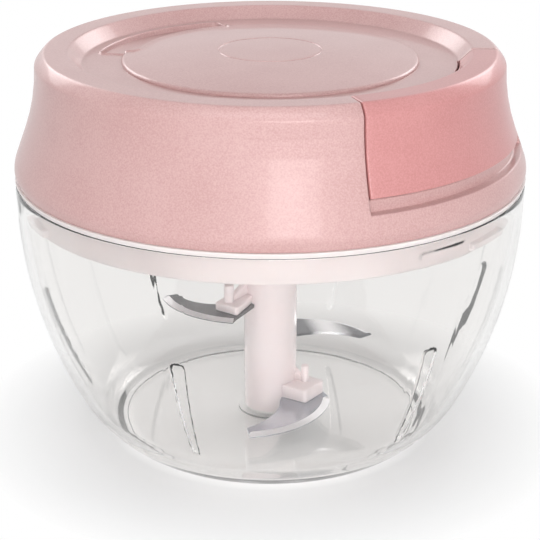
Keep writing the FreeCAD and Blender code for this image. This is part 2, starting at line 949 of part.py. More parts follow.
def make_cover():
    """Cover with the spindle, four screw towers, the handle pocket and the slot for the spring."""
    body = new_body("cover_blank")
    wall = size("cover_wall")
    outer, inner, middle = flare(dim(0)), flare(wall), flare(wall / 2)
    crown, moat = crown_top(), moat_floor()
    seat = skirt_radius() + 0.1
    slope_run = (crown_bore() - moat_radius()) / (crown - moat)
    bevel_length = root(slope_run * slope_run + 1)
    inner_foot = moat_radius() + wall * (bevel_length - slope_run)
    inner_head = inner_foot + slope_run * (crown - moat)
    spindle, spindle_end = size("spindle_radius"), spindle_bottom()
    pilot = size("spindle_screw_radius") + 0.05
    revolve(body, [
        (seat, cover_bottom()),
        ((size("bowl_radius") - size("cover_bottom_inset")), cover_bottom()),
        (outer["widest"][0], outer["widest"][1], outer["round_low"], 1),
        outer["low"],
        (outer["high"][0], outer["high"][1], outer["round_high"], -1),
        (outer["shoulder"][0], outer["shoulder"][1], size("crown_round"), 1),
        (crown_radius(), crown),
        (crown_bore(), crown),
        (moat_radius(), moat),
        (disc_radius() + size("bead_radius"), moat, size("bead_radius"), 1),
        (disc_radius(), disc_edge(), dome_radius(), 1),
        (0, disc_crown()),
        (0, spindle_end + size("spindle_screw_reach") + 0.2),
        (pilot, spindle_end + size("spindle_screw_reach") + 0.2),
        (pilot, spindle_end),
        (spindle, spindle_end),
        (spindle, (drum_top() + size("shoulder_gap"))),
        (size("spindle_shoulder_radius"), (drum_top() + size("shoulder_gap"))),
        (size("spindle_shoulder_radius"), roof()),
        (roof_radius(), roof()),
        (roof_radius(), moat - wall),
        (inner_foot, moat - wall),
        (inner_head, crown - wall),
        (crown_radius() - wall / 2, crown - wall),
        (inner["shoulder"][0], inner["shoulder"][1], inner["round_high"], 1),
        inner["high"],
        inner["low"],
        (seat, (cover_bottom() + size("cover_seat_rise"))),
    ])
    # thick block at the handle, hollowed to leave the pocket's back, sides and floor
    back, floor = pocket_radius(), pocket_floor()
    thick = size("pocket_wall")
    swing, half = size("handle_azimuth"), size("handle_half_angle") + size("seam_angle")
    revolve(body, [
        (back - thick, floor - thick),
        on_slope(middle, floor - thick),
        (middle["high"][0], middle["high"][1], middle["round_high"], -1),
        middle["shoulder"],
        (crown_radius() - wall / 2, crown - wall / 2),
        (inner_head, crown - wall / 2),
        (inner_foot, moat - wall / 2),
        (back - thick, moat - wall / 2),
    ], "Block", angle=(half + thick * 180 / (math.pi * back)) * 2, swing=swing)
    extrude(body, "Pocket", "Bay", floor, crown,
            sector(back, size("bowl_radius") * 1.2, half), swing=swing)
    # sill behind the groove under the handle, its ends run into the pocket's sides
    sill, sill_top = size("bowl_radius") - size("sill_inset"), floor + size("finger_gap") - size("sill_gap")
    revolve(body, [
        (sill - size("sill_wall"), floor - thick / 2),
        (sill, floor - thick / 2),
        (sill, sill_top),
        (sill - size("sill_wall"), sill_top),
    ], "Sill", angle=(half + size("seam_angle")) * 2, swing=swing)
    tower = extrude(body, "Pad", "Tower", plate_low() + size("plate_thick"),
                    moat - 1 - plate_low() - size("plate_thick"),
                    circles=[(tower_circle(), 0, size("tower_radius"))], swing=size("tower_azimuth"))
    pattern(body, tower, size("tower_count"))
    pilot = extrude(body, "Pocket", "Pilot", plate_low() + size("plate_thick"),
                    size("lid_screw_reach") + 0.3,
                    circles=[(tower_circle(), 0, size("lid_screw_radius") + 0.05)],
                    swing=size("tower_azimuth"))
    pattern(body, pilot, size("tower_count"))
    # fine ring and thumb recess in the crown
    ring, line = size("disc_groove_radius"), size("disc_groove_width")
    ring_top = disc_crown() - ring * ring / (2 * dome_radius())
    revolve(body, [
        (ring - line / 2, ring_top - size("disc_groove_depth")),
        (ring + line / 2, ring_top - size("disc_groove_depth")),
        (ring + line / 2, crown),
        (ring - line / 2, crown),
    ], "RingLine", "Groove")
    extrude(body, "Pocket", "Thumb", moat - size("thumb_depth"), crown,
            sector(thumb_radius(), (thumb_radius() + size("thumb_width")), size("thumb_half_angle")),
            swing=size("thumb_azimuth"))
    # slot that holds the spring's inner tail, open on one side of the spindle
    gap = size("slot_width") / 2
    extrude(body, "Pocket", "TailSlot", spring_low() - 0.3,
            spring_high() - spring_low() + 0.6,
            [(-size("spring_tail") - 0.3, -gap), (spindle + 1, -gap),
             (spindle + 1, gap), (-size("spring_tail") - 0.3, gap)])
    doc.recompute()
    start = radial(back - thick * 2, swing)
    bore = cylinder("eyelet_bore", size("cord_diameter") / 2 + size("cord_slack") + size("eyelet_wall"),
                    thick * 3, (start[0], start[1], cord_height()), radial(dim(1), swing) + (0,))
    return cut("top_cover", body, bore)


def lay(body, base, direction):
    """Point the axis of a turned piece along a direction from a base point."""
    way = FreeCAD.Vector(*[dim(part).value for part in direction])
    turn = FreeCAD.Rotation(FreeCAD.Vector(0, 0, 1), way)
    body.Placement = FreeCAD.Placement(FreeCAD.Vector(*[dim(part).value for part in base]), turn)
    for letter, part in zip("xyz", base):
        bind(body, "Placement.Base." + letter, part)
    return body


def make_eyelet():
    """Metal grommet that the cord runs through, flanged on the drum's side."""
    bore = size("cord_diameter") / 2 + size("cord_slack")
    rim = size("eyelet_rim_thick")
    body = turned_piece("cord_eyelet", [
        (bore, 0.5 * rim),
        (bore + rim / 2, 0),
        (size("eyelet_rim"), 0),
        (size("eyelet_rim"), rim),
        (bore + size("eyelet_wall"), rim),
        (bore + size("eyelet_wall"), rim + size("pocket_wall")),
        (bore, rim + size("pocket_wall")),
    ])
    swing = size("handle_azimuth")
    start = radial(pocket_radius() - size("pocket_wall") - rim - 0.1, swing)
    return lay(body, (start[0], start[1], cord_height()), radial(dim(1), swing) + (0,))


def make_inner_lid():
    """Plate with the skirt that enters the bowl, the bearing collar and the bayonet lugs."""
    body = new_body("inner_lid")
    skirt, wall = skirt_radius(), size("skirt_wall")
    low, high = plate_low(), plate_low() + size("plate_thick")
    bush = size("bearing_radius") + size("bearing_wall")
    collar = size("collar_radius")
    revolve(body, [
        (bush, collar_bottom()),
        (collar, collar_bottom()),
        (collar, low),
        (skirt - wall, low),
        (skirt - wall, skirt_bottom()),
        (skirt, skirt_bottom()),
        (skirt, (rim() + size("skirt_over"))),
        (skirt - wall, (rim() + size("skirt_over"))),
        (skirt - wall, high),
        (collar, high),
        (collar, collar_top()),
        (bush, collar_top()),
    ])
    reach = size("bowl_radius") - size("bowl_wall") - size("lug_gap")
    lug = extrude(body, "Pad", "Lug", skirt_lug_low(), size("skirt_lug_thick"),
                  sector(skirt - wall / 2, reach, size("lug_half_angle")), swing=size("lug_azimuth"))
    pattern(body, lug, size("lug_count"))
    hole = extrude(body, "Pocket", "ScrewHole", low, size("plate_thick"),
                   circles=[(tower_circle(), 0, size("lid_screw_radius") + 0.1)],
                   swing=size("tower_azimuth"))
    pattern(body, hole, size("tower_count"))
    return body


def make_bearing():
    bore, outer = size("bearing_radius"), size("bearing_radius") + size("bearing_wall")
    top = collar_top() + size("bearing_flange_thick")
    return turned_piece("bearing_bush", [
        (bore, collar_bottom()),
        (outer, collar_bottom()),
        (outer, collar_top()),
        (size("bearing_flange_radius"), collar_top()),
        (size("bearing_flange_radius"), top),
        (bore, top),
    ])


def screw(name, head, head_thick, shank, reach, base=None):
    """A screw whose head starts at its base and whose shank follows above it."""
    start = dim(0) if base is None else base
    return turned_piece(name, [
        (0, start),
        (head, start),
        (head, start + head_thick),
        (shank, start + head_thick),
        (shank, start + head_thick + reach - shank / 2),
        (shank / 2, start + head_thick + reach),
        (0, start + head_thick + reach),
    ])


def make_lid_screws():
    """Four screws that pull the inner lid against the cover's towers."""
    screws = []
    for number in range(int(size("tower_count").value)):
        made = screw("lid_screw_%d" % (number + 1), size("lid_screw_head"), size("lid_screw_head_thick"),
                     size("lid_screw_radius"), size("plate_thick") + size("lid_screw_reach"))
        spot = radial(tower_circle(), size("tower_azimuth") + dim(TURN * number) / size("tower_count"))
        base = (spot[0], spot[1], plate_low() - size("lid_screw_head_thick"))
        screws.append(lay(made, base, (0, 0, 1)))
    return group("lid_screws", screws)


def make_seal():
    gap = size("seal_gap")
    return turned_piece("seal_ring", tube(
        (skirt_radius() + size("seal_fit")), (size("bowl_radius") - size("seal_inset")), rim() + gap,
        cover_bottom() - gap))


# Pull handle: a hollow sector of the lid's rim, open below for the fingers, with a plate at its back

def handle_outline(side, bottom, back, seat_top):
    """Section of the handle's rim, flush with the cover."""
    crown = crown_top()
    slope_run = (crown_bore() - moat_radius()) / (crown - moat_floor())
    return [
        (back, bottom),
        on_slope(side, bottom),
        (side["high"][0], side["high"][1], side["round_high"], -1),
        (side["shoulder"][0], side["shoulder"][1], size("crown_round"), 1),
        (crown_radius(), crown),
        (crown_bore(), crown),
        (back, moat_floor() + (back - moat_radius()) / slope_run),
        (back, seat_top),
    ]


def make_handle():
    swing, half = size("handle_azimuth"), size("handle_half_angle")
    bottom, wall = (pocket_floor() + size("finger_gap")), size("handle_wall")
    back = pocket_radius() + 0.4
    face = back + size("handle_plate_thick")
    plate_top, crown = (crown_top() - size("handle_plate_drop")), crown_top()
    body = new_body("handle_blank")
    revolve(body, handle_outline(flare(dim(0)), bottom, back, plate_top), angle=half * 2, swing=swing)
    inner = flare(wall)
    revolve(body, [
        (face, bottom - 2),
        on_slope(inner, bottom - 2),
        (inner["high"][0], inner["high"][1], inner["round_high"], -1),
        inner["shoulder"],
        (crown_radius() - wall / 2, crown - wall),
        (crown_bore() + wall / 2, crown - wall),
        (face, plate_top),
    ], "Grip", "Groove", angle=(half - size("handle_side_angle")) * 2, swing=swing)
    revolve(body, tube(back - 1, face, bottom - 1, plate_top), "PlateSeat", "Groove",
            angle=half * 2 + 4, swing=swing)
    doc.recompute()
    plate_blank = new_body("plate_blank")
    revolve(plate_blank, tube(back, face, bottom, plate_top - 0.05), angle=half * 2, swing=swing)
    posts, bores, clears, screws = [], [], [], []
    head_thick, shank = size("handle_screw_head_thick"), size("handle_screw_radius")
    height = (crown_top() - size("handle_screw_drop"))
    for number, turn in enumerate((-1, 1), 1):
        azimuth = swing + size("handle_screw_swing") * turn
        way = radial(dim(1), azimuth) + (0,)
        at_face, at_back = radial(face, azimuth), radial(back - 0.5, azimuth)
        posts.append(cylinder("handle_post_%d" % number, size("handle_post_radius"),
                              size("handle_screw_length") * 1.5, at_face + (height,), way))
        bores.append(cylinder("handle_pilot_%d" % number, shank + 0.05,
                              size("handle_screw_length") + size("handle_pilot_spare"),
                              at_back + (height,), way))
        clears.append(cylinder("plate_sink_%d" % number, size("handle_screw_head") + 0.1,
                               head_thick + 0.6, at_back + (height,), way))
        clears.append(cylinder("plate_hole_%d" % number, shank + 0.1, dim(4), at_back + (height,), way))
        made = screw("handle_screw_%d" % number, size("handle_screw_head"), head_thick, shank,
                     size("handle_screw_length"))
        screws.append(lay(made, radial(back + 0.1, azimuth) + (height,), way))
    way = radial(dim(1), swing) + (0,)
    clears.append(cylinder("plate_cord_hole", size("cord_diameter") / 2 + size("cord_slack"), dim(4),
                           radial(back - 0.5, swing) + (cord_height(),), way))
    shell = cut("handle_shell", join("handle_posted", [body] + posts), join("handle_pilots", bores))
    plate = cut("handle_back_plate", plate_blank, join("plate_clears", clears))
    knot, width = size("knot_radius"), size("knot_width")
    knot_body = turned_piece("cord_knot", [
        (0, 0),
        (knot / 2, 0, width * 0.55, 1),
        (knot / 2, width),
        (0, width),
    ])
    lay(knot_body, radial(face + 0.1, swing) + (cord_height(),), way)
    return [shell, plate, group("handle_screws", screws), knot_body]


# Cord drum, its spring and the coupling under it

def make_spool():
    body = new_body("spool")
    bore = size("spindle_radius") + size("running_gap")
    hub = size("bearing_radius") - size("running_gap")
    floor, top = drum_floor(), drum_floor() + size("drum_floor_thick")
    drum, wall = size("drum_radius"), size("drum_wall")
    revolve(body, [
        (size("hub_bore"), hub_bottom()),
        (hub, hub_bottom()),
        (hub, floor),
        (size("flange_radius"), floor),
        (size("flange_radius"), top),
        (drum, top),
        (drum, top + size("drum_groove")),
        (drum - wall, top + size("drum_groove")),
        (drum - wall, top),
        (bore, top),
        (bore, (spindle_bottom() + size("hub_web_gap"))),
        (size("hub_bore"), (spindle_bottom() + size("hub_web_gap"))),
    ])
    gap, bend = size("slot_width") / 2, size("spring_bend") * 2
    extrude(body, "Pocket", "SpringSlot", spring_low() - 0.3, size("drum_groove"),
            [(drum - wall - 1, bend - gap), (drum + 1, bend - gap),
             (drum + 1, bend + gap), (drum - wall - 1, bend + gap)])
    doc.recompute()
    lid_low = top + size("drum_groove")
    lip = drum - wall - 0.05
    cover = turned_piece("spring_cover", [
        (size("spring_lid_bore"), lid_low),
        (lip - 0.5, lid_low),
        (lip - 0.5, lid_low - 0.6),
        (lip, lid_low - 0.6),
        (lip, lid_low),
        (size("flange_radius"), lid_low),
        (size("flange_radius"), lid_low + size("spring_lid_thick")),
        (size("spring_lid_bore"), lid_low + size("spring_lid_thick")),
    ])
    washer_low = spindle_bottom() - size("retainer_thick")
    retainer = turned_piece("spindle_washer", tube(
        size("spindle_screw_radius") + 0.1, size("retainer_radius"), washer_low, spindle_bottom()))
    holder = screw("spindle_screw", size("spindle_screw_head"), size("spindle_screw_head_thick"),
                   size("spindle_screw_radius"), size("retainer_thick") + size("spindle_screw_reach"),
                   washer_low - size("spindle_screw_head_thick"))
    return body, cover, retainer, holder


def make_coupler():
    """Plug pinned in the drum's hub, with the shaft and cross pin that drive the blade column."""
    blank = turned_piece("coupler_blank", [
        (0, shaft_bottom()),
        (size("shaft_radius") - size("shaft_tip_chamfer"), shaft_bottom()),
        (size("shaft_radius"), shaft_bottom() + size("shaft_tip_chamfer")),
        (size("shaft_radius"), hub_bottom() - size("coupler_flange_thick")),
        (size("coupler_flange_radius"), hub_bottom() - size("coupler_flange_thick")),
        (size("coupler_flange_radius"), hub_bottom()),
        (size("hub_bore"), hub_bottom()),
        (size("hub_bore"), coupler_top()),
        (0, coupler_top()),
    ])
    reach, hub_reach = size("drive_pin_half_length"), size("bearing_radius") - 0.4
    drive = cylinder("drive_pin", size("drive_pin_radius"), reach * 2,
                     (-reach, 0, drive_pin_height()), (1, 0, 0))
    hub = cylinder("hub_pin", size("hub_pin_radius"), hub_reach * 2,
                   (0, -hub_reach, (hub_bottom() + size("hub_pin_rise"))), (0, 1, 0))
    return cut("drive_coupler", blank, join("pins", [drive, hub])), drive, hub


# Wound pieces, made as shapes from the same sizes

def polar(radius, azimuth, height):
    angle = math.radians(azimuth)
    return FreeCAD.Vector(radius * math.cos(angle), radius * math.sin(angle), height)


def arc_from(start, way, stop):
    """The arc that leaves a point along a direction and ends at another point."""
    chord = stop - start
    across = chord - way * chord.dot(way)
    if across.Length < 1e-6:
        return Part.LineSegment(start, stop).toShape()
    across.normalize()
    radius = chord.Length ** 2 / (2 * chord.dot(across))
    centre = start + across * radius
    half_way = ((start - centre) + (stop - centre)).normalize() * radius
    return Part.Arc(start, centre + half_way, stop).toShape()


def biarc(start, way, stop, end_way):
    """Two arcs that join two points with given directions, and the smaller of their radii."""
    chord, both = stop - start, way + end_way
    scale = 2 * (1 - way.dot(end_way))
    reach = (math.sqrt(chord.dot(both) ** 2 + scale * chord.dot(chord)) - chord.dot(both)) / scale
    middle = (start + way * reach + stop - end_way * reach) * 0.5
    middle_way = (stop - end_way * reach - start - way * reach).normalize()
    arcs = [arc_from(start, way, middle), arc_from(middle, middle_way, stop)]
    return arcs, min(arc.Curve.Radius for arc in arcs)


def sweep_round(name, edges, radius, start, way):
    """A round rod along a chain of edges."""
    path = Part.Wire(edges)
    ring = Part.Wire([Part.Circle(start, way, radius).toShape()])
    shell = Part.BRepOffsetAPI.MakePipeShell(path)
    shell.add(ring)
    shell.build()
    shell.makeSolid()
    made = doc.addObject("Part::Feature", name)
    made.Label = name
    made.Shape = shell.shape()
    return made


def make_cord():
    """The turns on the drum, and the run from the drum through the eyelet to the knot."""
    thick = size("cord_diameter").value
    lane = size("drum_radius").value + thick / 2 + 0.1
    pitch, turns = size("cord_pitch").value, size("cord_turns").value
    low, high = cord_start().value, cord_height().value
    swing = size("handle_azimuth").value
    bend_place = cord_corner().value
    leave = swing - math.degrees(math.acos(lane / bend_place))
    points, ways = [], []
    quarters = int(turns * 4)
    for number in range(quarters + 1):
        azimuth = leave - 90 * (quarters - number)
        points.append(polar(lane, azimuth, low + pitch * number / 4))
        climb = 0 if number == quarters else pitch / (2 * math.pi)
        ways.append((polar(lane, azimuth + 90, climb)).normalize())
    edges, radii = [], []
    for number in range(quarters):
        arcs, radius = biarc(points[number], ways[number], points[number + 1], ways[number + 1])
        edges += arcs
        radii.append(radius)
    winding = sweep_round("cord_winding", edges, thick / 2, points[0], ways[0])
    track = []
    for number, edge in enumerate(edges):
        track += [(number, point) for point in edge.discretize(24)]
    gap = min(a.distanceToPoint(b) for i, a in track for j, b in track if j - i > 5) - thick
    print("winding arc radii %.2f to %.2f mm, least gap to itself %.2f mm" % (min(radii), max(radii), gap))
    # straight from the drum, round one bend in front of the eyelet, straight out to the knot
    corner = polar(bend_place, swing, high)
    out = polar(1, swing, 0)
    along = ways[-1]
    turn = along.getAngle(out)
    trim = size("cord_bend_radius").value * math.tan(turn / 2)
    bend_start, bend_stop = corner - along * trim, corner + out * trim
    stop = polar(pocket_radius().value + 0.5 + size("handle_plate_thick").value, swing, high)
    run = [
        Part.LineSegment(points[-1], bend_start).toShape(),
        arc_from(bend_start, along, bend_stop),
        Part.LineSegment(bend_stop, stop).toShape(),
    ]
    print("cord bend radius %.2f mm" % run[1].Curve.Radius)
    return winding, sweep_round("cord_run", run, thick / 2, points[-1], along)


def make_spring():
    """Flat spiral spring with a tail in the spindle's slot and a tail through the drum's wall."""
    pitch, first = size("spring_pitch").value, size("spring_inner_radius").value
    bend, tail = size("spring_bend").value, size("spring_tail").value
    half = size("spring_thick").value / 2
    moves = [(tail + first - bend, 0), (bend, 90)]
    for number in range(int(size("spring_turns").value * 2)):
        moves.append((first + pitch / 4 + number * pitch / 2, 180))
    last = first + size("spring_turns").value * pitch
    moves += [(bend, -90), (size("drum_radius").value - 0.3 - last - bend, 0)]
    place, heading = FreeCAD.Vector(-tail, 0, spring_low().value), 0.0
    sides = {1: [], -1: []}
    for amount, turn in moves:
        ahead = polar(1, heading, 0)
        left = polar(1, heading + 90, 0)
        if turn:
            centre = place + left * amount * math.copysign(1, turn)
            upright = FreeCAD.Vector(0, 0, 1)
            stops = [centre + FreeCAD.Rotation(upright, turn * part).multVec(place - centre)
                     for part in (0, 0.5, 1)]
        else:
            stops = [place, place + ahead * amount * 0.5, place + ahead * amount]
        for side in sides:
            shifted = [spot + polar(1, heading + turn * part + 90, 0) * half * side
                       for spot, part in zip(stops, (0, 0.5, 1))]
            edge = Part.Arc(*shifted) if turn else Part.LineSegment(shifted[0], shifted[2])
            sides[side].append((edge.toShape(), shifted[0], shifted[2]))
        place, heading = stops[2], heading + turn
    start_cap = Part.LineSegment(sides[-1][0][1], sides[1][0][1]).toShape()
    end_cap = Part.LineSegment(sides[-1][-1][2], sides[1][-1][2]).toShape()
    edges = [edge for edge, _, _ in sides[1]] + [end_cap]
    edges += [edge for edge, _, _ in reversed(sides[-1])] + [start_cap]
    face = Part.Face(Part.Wire(Part.__sortEdges__(edges)))
    made = doc.addObject("Part::Feature", "spiral_spring")
    made.Label = "spiral_spring"
    made.Shape = face.extrude(FreeCAD.Vector(0, 0, spring_high().value - spring_low().value))
    return made


nodes = make_bowl() + make_pivot()
blades = make_blades()
nodes += [make_column(blades)] + blades
nodes += [make_cover(), make_eyelet(), make_inner_lid(), make_bearing(), make_lid_screws(), make_seal()]
nodes += make_handle()
spool, spring_cover, spindle_washer, spindle_screw = make_spool()
coupler, drive_pin, hub_pin = make_coupler()
doc.recompute()
spool.Label = "spool_blank"
nodes += [cut("spool_bored", spool, hub_pin), spring_cover, spindle_washer, spindle_screw]
nodes += [coupler, drive_pin, hub_pin]
nodes += list(make_cord()) + [make_spring()]
doc.recompute()

for item in doc.Objects:
    if "Invalid" in item.State or "Error" in item.State:
        raise RuntimeError("%s did not rebuild: %s" % (item.Name, item.State))
    if item.TypeId in ("PartDesign::Pocket", "PartDesign::Groove"):
        if item.BaseFeature.Shape.Volume - item.Shape.Volume < 0.01:
            raise RuntimeError("%s of %s cuts nothing" % (item.Name, item.getParentGeoFeatureGroup().Name))

for node in nodes:
    shape = node.Shape
    if shape.isNull() or not shape.isValid() or shape.Volume <= 0:
        raise RuntimeError("%s is not a sound solid" % node.Label)
    name = "spool" if node.Label == "spool_bored" else node.Label
    shape.exportStep("parts/%s.step" % name)
    print("%-18s %2d solid(s) %10.1f mm3" % (name, len(shape.Solids), shape.Volume))
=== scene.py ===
import math

import bmesh
import bpy
import numpy as np
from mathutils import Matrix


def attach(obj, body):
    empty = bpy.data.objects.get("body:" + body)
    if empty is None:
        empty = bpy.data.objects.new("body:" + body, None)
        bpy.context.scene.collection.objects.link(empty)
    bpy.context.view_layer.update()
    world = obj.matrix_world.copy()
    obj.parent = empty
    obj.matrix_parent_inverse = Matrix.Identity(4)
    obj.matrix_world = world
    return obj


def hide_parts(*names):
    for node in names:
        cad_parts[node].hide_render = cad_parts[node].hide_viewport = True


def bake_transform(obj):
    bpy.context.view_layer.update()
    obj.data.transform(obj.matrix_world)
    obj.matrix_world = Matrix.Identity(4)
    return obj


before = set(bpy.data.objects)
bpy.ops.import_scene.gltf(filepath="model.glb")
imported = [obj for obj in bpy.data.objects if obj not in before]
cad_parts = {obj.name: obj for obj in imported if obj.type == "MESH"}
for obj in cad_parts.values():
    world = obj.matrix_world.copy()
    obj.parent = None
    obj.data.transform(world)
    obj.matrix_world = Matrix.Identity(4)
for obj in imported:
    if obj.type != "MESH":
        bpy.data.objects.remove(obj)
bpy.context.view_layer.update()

# Pull-string food chopper. Shapes are worked out in millimetres and stored in metres, +Z up, with the
# origin at the centre of the bowl's foot. A profile is rows of (radius, height) with the solid on its
# left. Azimuths run from +X, counter-clockwise from above, and angles are in degrees.

HANDLE_AZIMUTH = -35.75
HANDLE_HALF = 33.25  # half the angle that the handle takes up
BAY_HALF = 33.55  # half the angle of its bay in the lid
THUMB_AZIMUTH = 141
THUMB_HALF = 31.5  # half the angle of the thumb recess
LUG_AZIMUTHS = (-35, 85, 205)
BOWL_LUG_AZIMUTHS = (-51, 69, 189)
FLARE_RADIUS = 60  # mean radius of the flare, where the handle meets the lid
EDGE_STEPS = np.array([0.0, 0.05, 0.13, 0.24, 0.42])  # degrees from an end, where its round is drawn

DRUM_RADIUS = 21.0  # of the cord's middle on the drum
CORD_LEAVES = -96.52  # azimuth at which the cord leaves the drum
CORD_HEIGHT = 90.11


# Lines and surfaces

def trace(corners, closed=True, gap=2.0, turn=5.0):
    """Points along a chain of corners. A corner is (x, y) with a straight run to the next one, or
    (x, y, radius, side) with an arc whose centre is on the left (1) or the right (-1) of the way. Runs
    are cut into steps of about `gap` and arcs into steps of about `turn` degrees."""
    parts = []
    pairs = list(zip(corners, corners[1:] + corners[:1]))
    for corner, follower in pairs if closed else pairs[:-1]:
        start, stop = np.array(corner[:2], float), np.array(follower[:2], float)
        run = stop - start
        length = np.hypot(*run)
        if len(corner) == 4:
            radius, side = corner[2:]
            half = math.asin(min(1.0, length / 2 / radius))
            across = np.array((-run[1], run[0])) / length * side
            centre = (start + stop) / 2 + across * radius * math.cos(half)
            steps = max(2, math.ceil(math.degrees(half) * 2 / turn))
            angle = np.arctan2(*(start - centre)[::-1]) + side * 2 * half * np.arange(steps) / steps
            parts.append(centre + radius * np.stack([np.cos(angle), np.sin(angle)], 1))
        else:
            steps = max(1, math.ceil(length / gap))
            parts.append(start + run * (np.arange(steps) / steps)[:, None])
    if not closed:
        parts.append(np.array([corners[-1][:2]], float))
    return np.concatenate(parts)


def eased(line, ease, closed=True, limit=25.0):
    """The line with each corner sharper than `limit` degrees swapped for a parabola that leaves the line
    `ease` before the corner and meets it `ease` after."""
    ring = np.concatenate([line, line[:1]]) if closed else line
    steps = np.diff(ring, axis=0)
    lengths = np.hypot(*steps.T)
    along = np.concatenate([[0], np.cumsum(lengths)])
    total = along[-1]
    heading = np.degrees(np.arctan2(steps[:, 1], steps[:, 0]))
    bend = np.abs((heading - np.roll(heading, 1) + 180) % 360 - 180)
    if not closed:
        bend[0] = 0
    sharp = np.flatnonzero(bend > limit)
    if not len(sharp):
        return line
    where = along[sharp]
    if closed:
        gaps = np.diff(np.append(where, where[0] + total))
        room = np.minimum(gaps, np.roll(gaps, 1))
    else:
        edges = np.concatenate([[0], where, [total]])
        room = np.minimum(np.diff(edges)[1:], np.diff(edges)[:-1])
    cut = np.minimum(ease, room * 0.45)

    def at(place):
        place = place % total if closed else place
        return np.stack([np.interp(place, along, ring[:, 0]), np.interp(place, along, ring[:, 1])], -1)

    away = np.abs(along[: len(line), None] - where[None])
    away = np.minimum(away, total - away) if closed else away
    kept = (away > cut * 1.01).all(1)
    t = np.array([0, 0.25, 0.5, 0.75, 1.0])
    first, last = at(where - cut)[:, None], at(where + cut)[:, None]
    middle = at(where)[:, None]
    u = t[None, :, None]
    curve = first * (1 - u) ** 2 + middle * 2 * u * (1 - u) + last * u ** 2
    place = (where[:, None] - cut[:, None] + 2 * cut[:, None] * t[None]).ravel()
    place = place % total if closed else place
    order = np.argsort(np.concatenate([along[: len(line)][kept], place]), kind="stable")
    return np.concatenate([line[kept], curve.reshape(-1, 2)])[order]


def evenly(line, count):
    """`count` points at equal steps along an open line."""
    along = np.concatenate([[0], np.cumsum(np.hypot(*np.diff(line, axis=0).T))])
    spots = np.linspace(0, along[-1], count)
    return np.stack([np.interp(spots, along, line[:, 0]), np.interp(spots, along, line[:, 1])], 1)


def smooth(value, low, high):
    """0 below `low`, 1 above `high`, and the cubic 3t^2 - 2t^3 between."""
    t = np.clip((value - low) / (high - low), 0, 1)
    return t * t * (3 - 2 * t)


def away_from(azimuths, centre):
    """Signed angle from a centre azimuth, in degrees from -180 to 180."""
    return (azimuths - centre + 180) % 360 - 180


def ring_of(step, centres=(), offsets=()):
    """Azimuths once round in steps of `step` degrees, with extra ones at `offsets` from each centre."""
    extra = (np.array(centres, float)[:, None] + np.array(offsets, float)[None]).ravel()
    return np.unique(np.round(np.concatenate([np.arange(0, 360, step), extra % 360]), 4))


def stood_round(azimuths, profiles, closed=True, whole=True):
    """Profiles stood round the vertical axis: point i of profile j is (r cos a, r sin a, z) at azimuth
    a of j. A closed profile joins its last point to its first, and a turn that isn't whole is capped."""
    profiles = np.broadcast_to(profiles, (len(azimuths),) + profiles.shape[-2:])
    angle = np.radians(azimuths)[:, None]
    r, z = profiles[..., 0], profiles[..., 1]
    points = np.stack([r * np.cos(angle), r * np.sin(angle), z], -1).reshape(-1, 3)
    index = np.arange(r.size).reshape(r.shape)
    here, ahead = (index, np.roll(index, -1, 0)) if whole else (index[:-1], index[1:])
    if closed:
        quads = [here, ahead, np.roll(ahead, -1, 1), np.roll(here, -1, 1)]
    else:
        quads = [here[:, :-1], ahead[:, :-1], ahead[:, 1:], here[:, 1:]]
    faces = np.stack(quads, -1).reshape(-1, 4).tolist()
    if not whole:
        faces += [index[0].tolist(), index[-1][::-1].tolist()]
    return points, faces


def slab(outline, low, high, ease):
    """A plate: a counter-clockwise outline (u, v) carried up w from `low` to `high`, drawn in along its
    normal by a quarter circle of radius `ease` at both faces."""
    steps = np.roll(outline, -1, 0) - np.roll(outline, 1, 0)
    inward = np.stack([-steps[:, 1], steps[:, 0]], 1) / np.hypot(*steps.T)[:, None]
    turn = np.radians([0, 30, 60, 90])
    inset = ease * np.concatenate([1 - np.sin(turn), (1 - np.sin(turn))[::-1]])
    level = np.concatenate([low + ease * (1 - np.cos(turn)), (high - ease * (1 - np.cos(turn)))[::-1]])
    flat = outline[None] + inward[None] * inset[:, None, None]
    height = np.broadcast_to(level[:, None, None], flat.shape[:2] + (1,))
    points = np.concatenate([flat, height], 2).reshape(-1, 3)
    index = np.arange(flat.shape[0] * flat.shape[1]).reshape(flat.shape[:2])
    quads = [index[:-1], np.roll(index, -1, 1)[:-1], np.roll(index, -1, 1)[1:], index[1:]]
    faces = np.stack(quads, -1).reshape(-1, 4).tolist()
    return points, faces + [index[0][::-1].tolist(), index[-1].tolist()]


def placed(shape, spot=(0, 0, 0), across=(1, 0, 0), up=(0, 1, 0)):
    """A shape moved so that its u axis lies along `across`, its v axis along `up` and its origin at
    `spot`; w is their cross product."""
    points, faces = shape
    frame_rows = np.array([across, up, np.cross(across, up)], float)
    return points @ frame_rows + np.array(spot, float), faces


def together(shapes):
    """Several shapes as one, with the corner numbers of each moved on by the points before it."""
    starts = np.cumsum([0] + [len(points) for points, _ in shapes])
    faces = [[corner + int(start) for corner in face]
             for start, (_, some) in zip(starts, shapes) for face in some]
    return np.concatenate([points for points, _ in shapes]), faces


